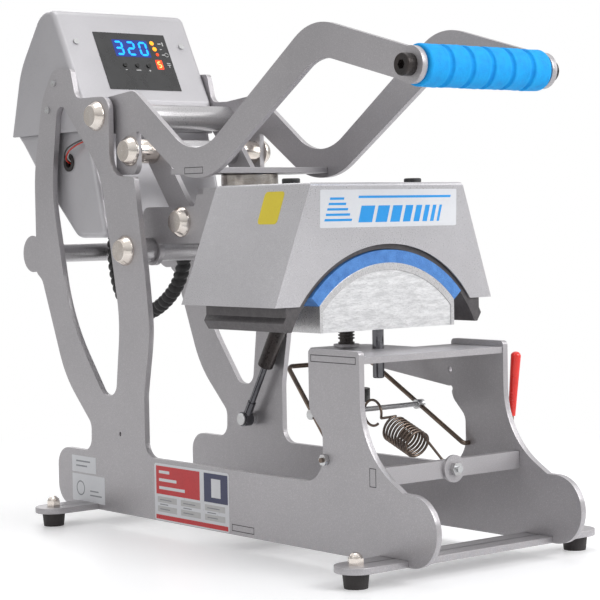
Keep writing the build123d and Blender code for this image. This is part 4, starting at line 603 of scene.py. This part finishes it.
def makeSpring(values):
    # one wire: a hook round the stud, a leg, the close coil, a leg, and an open ring round the rod
    way = np.array((0.0, *values["way"]))
    up = np.array((0.0, -way[2], way[1]))
    side = np.array((1.0, 0.0, 0.0))
    turn = np.linspace(0, 2 * np.pi * values["turns"], int(values["turns"] * 48))[:, None]
    start = np.array((0.0, *values["axisStart"]))
    coil = (start + way * (values["coilLength"] * turn / turn[-1])
            + values["mean"] * (np.cos(turn) * up + np.sin(turn) * side))
    y, z, radius = values["studHook"]
    angle = np.radians(np.linspace(-235, 90, 60))
    hook = np.stack([radius * np.cos(angle), np.full(60, y), z + radius * np.sin(angle)], axis=1)
    y, z, radius = values["anchorRing"]
    angle = np.radians(np.linspace(0, -330, 90))[:, None]
    ring = np.array((0.0, y, z)) - radius * (np.cos(angle) * way + np.sin(angle) * up)
    path, _ = evenPoints(np.vstack([hook, coil, ring]), values["step"])
    kernel = np.hanning(values["softening"])[1:-1] / np.hanning(values["softening"]).sum()
    padded = np.pad(path, ((2, 2), (0, 0)), "edge")
    path = np.stack([np.convolve(padded[:, k], kernel, "valid") for k in range(3)], axis=1)
    points, faces = tubeAlong(atMany(path), np.full(len(path), values["wire"] * mm), values["sides"])
    piece = makePiece("bailSpring", points, faces, "oiledSteel")
    faceOut(piece)
    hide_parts("bail_spring")
    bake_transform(piece)


makeSpring(spring)
print("spring wound")


# ---- control box shell
boxShell = {"corners": [(204.0, 414.0), (208.0, 448.0), (259.5, 546.5), (286.0, 546.5), (331.0, 487.0),
                        (351.0, 414.0)],
            "radii": [0, 6, 12, 28, 90, 0], "half": 86.7, "edge": 6.0, "sheet": 2.0,
            "window": (-44.05, 50.05), "windowRows": (12.95, 85.05), "arcSteps": 9, "edgeSteps": 7}


def roundedLine(corners, radii, steps):
    # an open line through corners, each turned by an arc of its radius
    corners = [np.array(corner, float) for corner in corners]
    line = [corners[0][None]]
    for before, corner, after, radius in zip(corners, corners[1:], corners[2:], radii[1:]):
        if not radius:
            line.append(corner[None])
            continue
        back, ahead = before - corner, after - corner
        back, ahead = back / np.linalg.norm(back), ahead / np.linalg.norm(ahead)
        halfTurn = math.acos(float(np.clip(back @ ahead, -1, 1))) / 2
        centre = corner + (back + ahead) / np.linalg.norm(back + ahead) * radius / math.sin(halfTurn)
        start = corner + back * radius / math.tan(halfTurn) - centre
        end = corner + ahead * radius / math.tan(halfTurn) - centre
        turn = math.atan2(start[0] * end[1] - start[1] * end[0], float(start @ end))
        angle = np.linspace(0, turn, steps)[:, None]
        line.append(centre + start * np.cos(angle) + np.stack([-start[1], start[0]]) * np.sin(angle))
    line.append(corners[-1][None])
    return np.vstack(line)


def makeBoxShell(values):
    # a profile carried across x: near each side it sinks along its normal by edge * (1 - cos a)
    # while x runs out by edge * sin a, and the quads inside the panel's window are left out
    chin, foot, brow = (np.array(corner) for corner in values["corners"][:3])
    way = (brow - foot) / np.linalg.norm(brow - foot)
    windowEdges = [foot + way * row for row in values["windowRows"]]
    corners = [chin, foot, *windowEdges, *values["corners"][2:]]
    radii = [*values["radii"][:2], 0, 0, *values["radii"][2:]]
    line = roundedLine(corners, radii, values["arcSteps"])
    along = np.gradient(line, axis=0)
    along /= np.linalg.norm(along, axis=1, keepdims=True)
    outward = np.stack([-along[:, 1], along[:, 0]], axis=1)
    angle = np.linspace(0, np.pi / 2, values["edgeSteps"])
    flat = values["half"] - values["edge"]
    rightX, sink = flat + values["edge"] * np.sin(angle), values["edge"] * (1 - np.cos(angle))
    x = np.concatenate([-rightX[::-1], values["window"], rightX])
    depth = np.concatenate([sink[::-1], (0, 0), sink])
    shape = line[None] - outward[None] * depth[:, None, None]
    grid = np.concatenate([np.broadcast_to(x[:, None, None], (*shape.shape[:2], 1)), shape], axis=2)
    rows, columns = grid.shape[:2]
    faces = gridFaces(rows, columns)
    middle = grid.reshape(-1, 3)[faces].mean(axis=1)
    rise = (middle[:, 1:] - foot) @ way
    off = np.abs((middle[:, 1:] - foot) @ np.array((-way[1], way[0])))
    low, high = values["windowRows"]
    inWindow = ((middle[:, 0] > values["window"][0]) & (middle[:, 0] < values["window"][1]) & (rise > low)
                & (rise < high) & (off < 0.5))
    column = np.arange(columns)
    sides = [(rows - 1) * columns + column, column[::-1]]
    faces = [*faces[~inWindow].tolist(), *(side.tolist() for side in sides)]
    piece = makePiece("boxShell", atMany(grid.reshape(-1, 3)), faces, "boxCoat", "base")
    faceOut(piece)
    wall = piece.modifiers.new("sheet", "SOLIDIFY")
    wall.thickness = values["sheet"] * mm
    wall.offset = -1.0
    piece.data.set_sharp_from_angle(angle=math.radians(40))
    evener = piece.modifiers.new("evenShading", "WEIGHTED_NORMAL")
    evener.keep_sharp = True
    evener.weight = 90
    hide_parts("control_box_shell")


makeBoxShell(boxShell)
print("box shell bent")


# ---- flat prints, stickers and painted gap shade
def roundedOutline(width, height, radius, steps=6):
    # a rectangle's outline with quarter circles at its corners, anticlockwise
    corners = ((width - radius, height - radius, 0), (radius, height - radius, 90), (radius, radius, 180),
               (width - radius, radius, 270))
    outline = []
    for u, v, turn in corners:
        angle = np.radians(turn + np.linspace(0, 90, steps))
        outline.append(np.stack([u + radius * np.cos(angle), v + radius * np.sin(angle)], axis=1))
    return np.vstack(outline)


def flatPrint(name, plane, body, patches):
    # thin closed plates on a plane; each patch is an outline, its look, its lift and its thickness in mm
    origin, uWay, vWay, out = (np.asarray(part, float) for part in plane)
    points, faces, indices, names = [], [], [], []
    for outline, look, lift, thick in patches:
        if look not in names:
            names.append(look)
        outline = np.asarray(outline, float)
        count, base = len(outline), sum(len(group) for group in points)
        low = origin + outline[:, :1] * uWay + outline[:, 1:] * vWay + lift * out
        points.append(np.vstack([low, low + thick * out]))
        column = np.arange(count)
        after = (column + 1) % count
        sides = np.stack([column, after, after + count, column + count], axis=1) + base
        faces += [list(base + column[::-1]), list(base + count + column), *sides.tolist()]
        indices += [names.index(look)] * (count + 2)
    return makePiece(name, atMany(np.vstack(points)), faces, names, body, False, indices)


def bar(u, v, width, height, slant=0.0):
    # a bar with its lower left corner at u, v, its top moved sideways by the slant
    return [(u, v), (u + width, v), (u + width + slant, v + height), (u + slant, v + height)]


faceFoot, faceBrow = (np.array(corner) for corner in boxShell["corners"][1:3])
faceWay = (faceBrow - faceFoot) / np.linalg.norm(faceBrow - faceFoot)
panelPlane = ((0.0, *faceFoot), (1, 0, 0), (0, *faceWay), (0, -faceWay[1], faceWay[0]))
display = {"stand": 0.62, "digits": "320", "digitAt": (-21.0, 56.5), "digitSize": (11.0, 18.2),
           "digitStep": 15.9, "stroke": 2.5, "second": "5", "secondAt": (29.0, 46.0),
           "lamps": [(30.0, 73.5), (31.5, 66.0), (33.0, 59.0)]}
segmentsOf = {"0": "abcdef", "1": "bc", "2": "abged", "3": "abgcd", "4": "fgbc", "5": "afgcd", "6": "afgedc",
              "7": "abc", "8": "abcdefg", "9": "abcdfg"}


def segmentShapes(u, v, width, height, stroke):
    # the seven bars of a digit, each a flat bar with pointed ends
    half, gap = stroke / 2, stroke * 0.12
    spots = {"a": (0, 1, 1, 1), "b": (1, 0.5, 1, 1), "c": (1, 0, 1, 0.5), "d": (0, 0, 1, 0),
             "e": (0, 0, 0, 0.5), "f": (0, 0.5, 0, 1), "g": (0, 0.5, 1, 0.5)}
    shapes = {}
    for key, (u0, v0, u1, v1) in spots.items():
        a = np.array((u + half + (width - stroke) * u0, v + half + (height - stroke) * v0))
        b = np.array((u + half + (width - stroke) * u1, v + half + (height - stroke) * v1))
        way = (b - a) / np.linalg.norm(b - a)
        side = np.array((-way[1], way[0])) * half
        a, b = a + way * gap, b - way * gap
        tip = way * half
        shapes[key] = [a, a + tip - side, b - tip - side, b, b - tip + side, a + tip + side]
    return shapes


def makeDisplay(values):
    # lit digits over a dark blue window, a red figure, three lamps and small pale marks, no lettering
    stand = values["stand"]
    u0, v0 = values["digitAt"]
    width, height = values["digitSize"]
    patches = [(roundedOutline(46.5, 21.8, 1.0) + np.array((u0 - 1.6, v0 - 1.8)), "lampDeep", stand, 0.05)]
    for place, figure in enumerate(values["digits"]):
        shapes = segmentShapes(u0 + place * values["digitStep"], v0, width, height, values["stroke"])
        patches += [(shapes[key], "lampBlue", stand + 0.06, 0.08) for key in segmentsOf[figure]]
    u1, v1 = values["secondAt"]
    patches.append((roundedOutline(8.6, 12.0, 0.8) + np.array((u1 - 1.6, v1 - 6.0)), "lampRed", stand, 0.05))
    shapes = segmentShapes(u1 + 0.2, v1 - 3.9, 5.0, 8.0, 1.2)
    patches += [(shapes[key], "lampGlow", stand + 0.06, 0.08) for key in segmentsOf[values["second"]]]
    for place, (u, v) in enumerate(values["lamps"]):
        ring = np.linspace(0, 2 * np.pi, 20, endpoint=False)
        size = 2.7 if place < 2 else 1.9
        patches.append((np.stack([u + size * np.cos(ring), v + size * np.sin(ring)], axis=1),
                        "lampAmber" if place < 2 else "lampRed", stand, 0.3))
    marks = [bar(38, 72.6, 4.4, 1.2), bar(43.6, 70.6, 1.4, 4.8), bar(38.6, 65.6, 3.0, 1.0),
             bar(39, 58.4, 3.4, 1.0), bar(42.2, 47.6, 4.6, 0.9), bar(42.2, 45.4, 4.6, 0.9),
             bar(44.1, 42.6, 0.9, 2.2), bar(-16.2, 37.4, 2.4, 0.9),
             bar(-2.2, 37.3, 6.4, 1.1), bar(14.8, 37.4, 2.4, 0.9), bar(15.55, 36.65, 0.9, 2.4)]
    patches += [(mark, "inkPale", stand, 0.05) for mark in marks]
    ring = np.linspace(0, 2 * np.pi, 24, endpoint=False)
    circle = np.stack([np.cos(ring), np.sin(ring)], axis=1)
    hoop = [np.vstack([circle[k:k + 2] * 2.6, circle[k:k + 2][::-1] * 2.1]) + np.array((45.4, 59.0))
            for k in range(0, 23, 1)]
    patches += [(part, "inkPale", stand, 0.05) for part in hoop]
    flatPrint("displayMarks", panelPlane, "base", patches)


makeDisplay(display)

coverFront = ((0.0, -178.0, 237.0), (1, 0, 0), (0, -0.03553, 0.99937), (0, -0.99937, -0.03553))
coverSide = ((-135.8, 0.0, 237.0), (0, -1, 0), (0.34317, 0, 0.93927), (-0.93927, 0, 0.34317))
nearPlate = ((-93.0, 0.0, 0.0), (0, -1, 0), (0, 0, 1), (-1, 0, 0))


def makeFrontPrint():
    # a pale strip with slanted blue bars that step down in width, and level lines at its left
    corner = np.array((-84.0, 71.0))
    patches = [(roundedOutline(171.0, 35.0, 1.5) + corner, "stickerWhite", 0.02, 0.1)]
    for row in range(5):
        line = bar(corner[0] + 5 + row * 1.6, corner[1] + 6.0 + row * 4.9, 33.0 - row * 4.0, 2.2, 0.6)
        patches.append((line, "inkBlue", 0.13, 0.05))
    reach = corner[0] + 46
    for place, width in enumerate((17.0, 14.5, 12.0, 9.5, 7.5, 6.0, 4.5, 3.2)):
        patches.append((bar(reach, corner[1] + 4.5, width, 15.5, 4.0), "inkBlue", 0.13, 0.05))
        reach += width + 4.0
    patches.append((bar(corner[0] + 46, corner[1] + 27.0, 117.0, 2.2, 0.6), "inkBlue", 0.13, 0.05))
    flatPrint("frontPrint", coverFront, "head", patches)


def makeSidePatch():
    # a bare yellow patch with round corners
    patches = [(roundedOutline(29.0, 32.0, 4.0) + np.array((119.0, 80.0)), "stickerYellow", 0.02, 0.12)]
    flatPrint("yellowPatch", coverSide, "head", patches)


def makePlatePrints():
    # a data plate with slanted bands over blank boxes, and two blank white tags
    u0, v0 = -76.5, 14.6
    patches = [(roundedOutline(124.5, 58.0, 3.0) + np.array((u0, v0)), "stickerWhite", 0.02, 0.1),
               (bar(u0 + 2, v0 + 1.5, 120.5, 4.5), "inkRed", 0.13, 0.03),
               (bar(u0 + 84, v0 + 27, 38.5, 28.5), "inkNavy", 0.13, 0.03)]
    patches.append((bar(u0 + 3, v0 + 27, 74.0, 28.5), "inkRed", 0.13, 0.03))
    for place, width in enumerate((44.0, 30.0, 18.0)):
        patches.append((bar(u0 + 8, v0 + 32 + place * 8.0, width, 3.0), "stickerWhite", 0.17, 0.03))
    patches.append((bar(u0 + 96, v0 + 32, 15.0, 18.5), "stickerWhite", 0.17, 0.03))
    for column in range(3):
        patches.append((bar(u0 + 5 + column * 40.0, v0 + 18.5, 33.0, 6.0), "inkPale", 0.13, 0.03))
        patches.append((bar(u0 + 5 + column * 40.0, v0 + 9.0, 33.0, 6.0), "inkPale", 0.13, 0.03))
        for row, width in ((20.8, 20.0), (16.2, 14.0), (11.4, 17.0)):
            patches.append((bar(u0 + 9 + column * 40.0, v0 + row, width, 1.0), "inkGrey", 0.17, 0.03))
    flatPrint("dataPlate", nearPlate, "base", patches)
    tags = [(roundedOutline(46.0, 17.5, 0.6) + np.array((-230.0, 50.5)), "stickerWhite", 0.02, 0.1),
            (roundedOutline(62.0, 29.0, 0.6) + np.array((-230.0, 19.5)), "stickerWhite", 0.02, 0.1)]
    for u, v, width, height in ((-222, 61.5, 27, 1.6), (-222, 56.5, 21, 1.6), (-196, 26.5, 22, 1.4),
                                (-196, 31.0, 16, 1.4)):
        tags.append((bar(u, v, width, height), "inkGrey", 0.13, 0.03))
    ring = np.linspace(0, 2 * np.pi, 28)
    circle = np.stack([np.cos(ring), np.sin(ring)], axis=1)
    tags += [(np.vstack([circle[k:k + 2] * 8.0, circle[k:k + 2][::-1] * 6.6]) + np.array((-214.0, 33.5)),
              "inkGrey", 0.13, 0.03) for k in range(27)]
    flatPrint("blankTags", nearPlate, "base", tags)


# painted shade in the tab gaps: each slot's y, z, width and height in mm, the line width, and the plates' x
paintedGapShadeLines = {"frame": [(-237.4, 186.6, 62.8, 6.8), (-86.4, 17.6, 34.8, 6.8), (-262.4, 79.4, 8.8, 17.0)],
              "handle": [(-2.4, 362.6, 30.8, 6.8)], "line": 0.8, "framePlate": 93.0, "handlePlate": 83.0}


def makePaintedGapShadeLines(values):
    # painted shade: a dark hairline frame round each tab that shows through a plate, standing in for the
    # shade in the clearance gap; four thin bars per slot
    for label, body, reach in (("frame", "base", values["framePlate"]),
                               ("handle", "handle", values["handlePlate"])):
        for side in (-1, 1):
            plane = ((side * reach, 0.0, 0.0), (0, side, 0), (0, 0, 1), (side, 0, 0))
            patches = []
            for y, z, width, height in values[label]:
                u = y if side > 0 else -y - width
                line = values["line"]
                for shape in (bar(u, z, width, line), bar(u, z + height - line, width, line),
                              bar(u, z + line, line, height - 2 * line),
                              bar(u + width - line, z + line, line, height - 2 * line)):
                    patches.append((shape, "seamDark", 0.01, 0.03))
            flatPrint(label + "Seams" + ("Right" if side > 0 else "Left"), plane, body,
                      patches)


makeFrontPrint()
makeSidePatch()
makePlatePrints()
# painted gap shade round the tabs
makePaintedGapShadeLines(paintedGapShadeLines)
print("prints laid")


# ---- floor, sky and lamps
floorLook = {"side": 6.0, "colour": (0.86, 0.86, 0.87), "matte": 0.35, "glow": 0.25, "fadeStart": 0.42,
             "fadeEnd": 0.95}


def makeFloor(values):
    # a pale floor that keeps the shadow near the object and turns to plain white for the camera further out
    side = values["side"]
    grid = np.array([(-side, -side, 0), (side, -side, 0), (side, side, 0), (-side, side, 0)], float)
    material = bpy.data.materials.new("paleFloor")
    material.use_nodes = True
    tree = material.node_tree
    shader = tree.nodes["Principled BSDF"]
    shader.inputs["Base Color"].default_value = (*values["colour"], 1)
    shader.inputs["Roughness"].default_value = values["matte"]
    shader.inputs["Specular IOR Level"].default_value = 0.25
    rays = tree.nodes.new("ShaderNodeLightPath")
    where = tree.nodes.new("ShaderNodeTexCoord")
    reach = tree.nodes.new("ShaderNodeVectorMath")
    reach.operation = "LENGTH"
    wire(tree, where.outputs["Object"], reach.inputs[0])
    fade = tree.nodes.new("ShaderNodeMapRange")
    fade.interpolation_type = "SMOOTHSTEP"
    fade.inputs["From Min"].default_value = values["fadeStart"]
    fade.inputs["From Max"].default_value = values["fadeEnd"]
    wire(tree, reach.outputs["Value"], fade.inputs["Value"])
    seen = sumNode(tree, "MAXIMUM", rays.outputs["Is Camera Ray"], rays.outputs["Is Glossy Ray"])
    glow = tree.nodes.new("ShaderNodeEmission")
    near = tree.nodes.new("ShaderNodeAddShader")
    wire(tree, sumNode(tree, "MULTIPLY", seen, values["glow"]), glow.inputs["Strength"])
    wire(tree, shader.outputs[0], near.inputs[0])
    wire(tree, glow.outputs[0], near.inputs[1])
    white = tree.nodes.new("ShaderNodeEmission")
    both = tree.nodes.new("ShaderNodeMixShader")
    wire(tree, sumNode(tree, "MULTIPLY", fade.outputs["Result"], seen), both.inputs[0])
    wire(tree, near.outputs[0], both.inputs[1])
    wire(tree, white.outputs[0], both.inputs[2])
    wire(tree, both.outputs[0], tree.nodes["Material Output"].inputs["Surface"])
    looks["paleFloor"] = material
    mesh = bpy.data.meshes.new("floor")
    mesh.from_pydata(grid.tolist(), [], [(0, 1, 2, 3)])
    mesh.materials.append(material)
    floor = bpy.data.objects.new("floor", mesh)
    bpy.context.scene.collection.objects.link(floor)


sky = {"light": 0.45, "low": 0.4, "high": 1.0}


def makeSky(values):
    # white to the camera, plain grey as a light, and pale at the top and greyer low down in reflections
    world = bpy.data.worlds.new("studio")
    bpy.context.scene.world = world
    world.use_nodes = True
    tree = world.node_tree
    rays = tree.nodes.new("ShaderNodeLightPath")
    seen = sumNode(tree, "MAXIMUM", rays.outputs["Is Camera Ray"], rays.outputs["Is Transmission Ray"])
    where = tree.nodes.new("ShaderNodeTexCoord")
    apart = tree.nodes.new("ShaderNodeSeparateXYZ")
    wire(tree, where.outputs["Generated"], apart.inputs[0])
    mirrored = tree.nodes.new("ShaderNodeMix")
    mirrored.inputs["A"].default_value = values["light"]
    rise = rangeNode(tree, apart.outputs["Z"], -0.1, 0.75, values["low"], values["high"])
    wire(tree, rise, mirrored.inputs["B"])
    wire(tree, rays.outputs["Is Glossy Ray"], mirrored.inputs["Factor"])
    strength = tree.nodes.new("ShaderNodeMix")
    strength.inputs["B"].default_value = 1.0
    wire(tree, mirrored.outputs[0], strength.inputs["A"])
    wire(tree, seen, strength.inputs["Factor"])
    wire(tree, strength.outputs[0], tree.nodes["Background"].inputs["Strength"])
    tree.nodes["Background"].inputs["Color"].default_value = (1, 1, 1, 1)


lamps = {"key": ((0.7, -2.2, 1.7), (0, -0.05, 0.25), 1.5, 38.0),
         "left": ((-2.3, -0.3, 1.0), (0, 0, 0.25), 1.6, 4.0),
         "right": ((2.0, -0.9, 1.1), (0, 0, 0.25), 1.2, 9.0),
         "top": ((0.1, 0.2, 2.4), (0, 0, 0.2), 1.6, 14.0),
         "back": ((0.6, 2.1, 1.4), (0, 0, 0.3), 1.3, 12.0)}


def makeLamps(values):
    for name, (spot, target, size, power) in values.items():
        lamp = bpy.data.lights.new(name, "AREA")
        lamp.size = size
        lamp.energy = power
        holder = bpy.data.objects.new(name, lamp)
        bpy.context.scene.collection.objects.link(holder)
        aim = Vector(target) - Vector(spot)
        holder.matrix_world = Matrix.Translation(spot) @ aim.to_track_quat("-Z", "Y").to_matrix().to_4x4()


makeFloor(floorLook)
makeSky(sky)
makeLamps(lamps)
bpy.context.scene.view_settings.view_transform = "Standard"
print("stage lit")
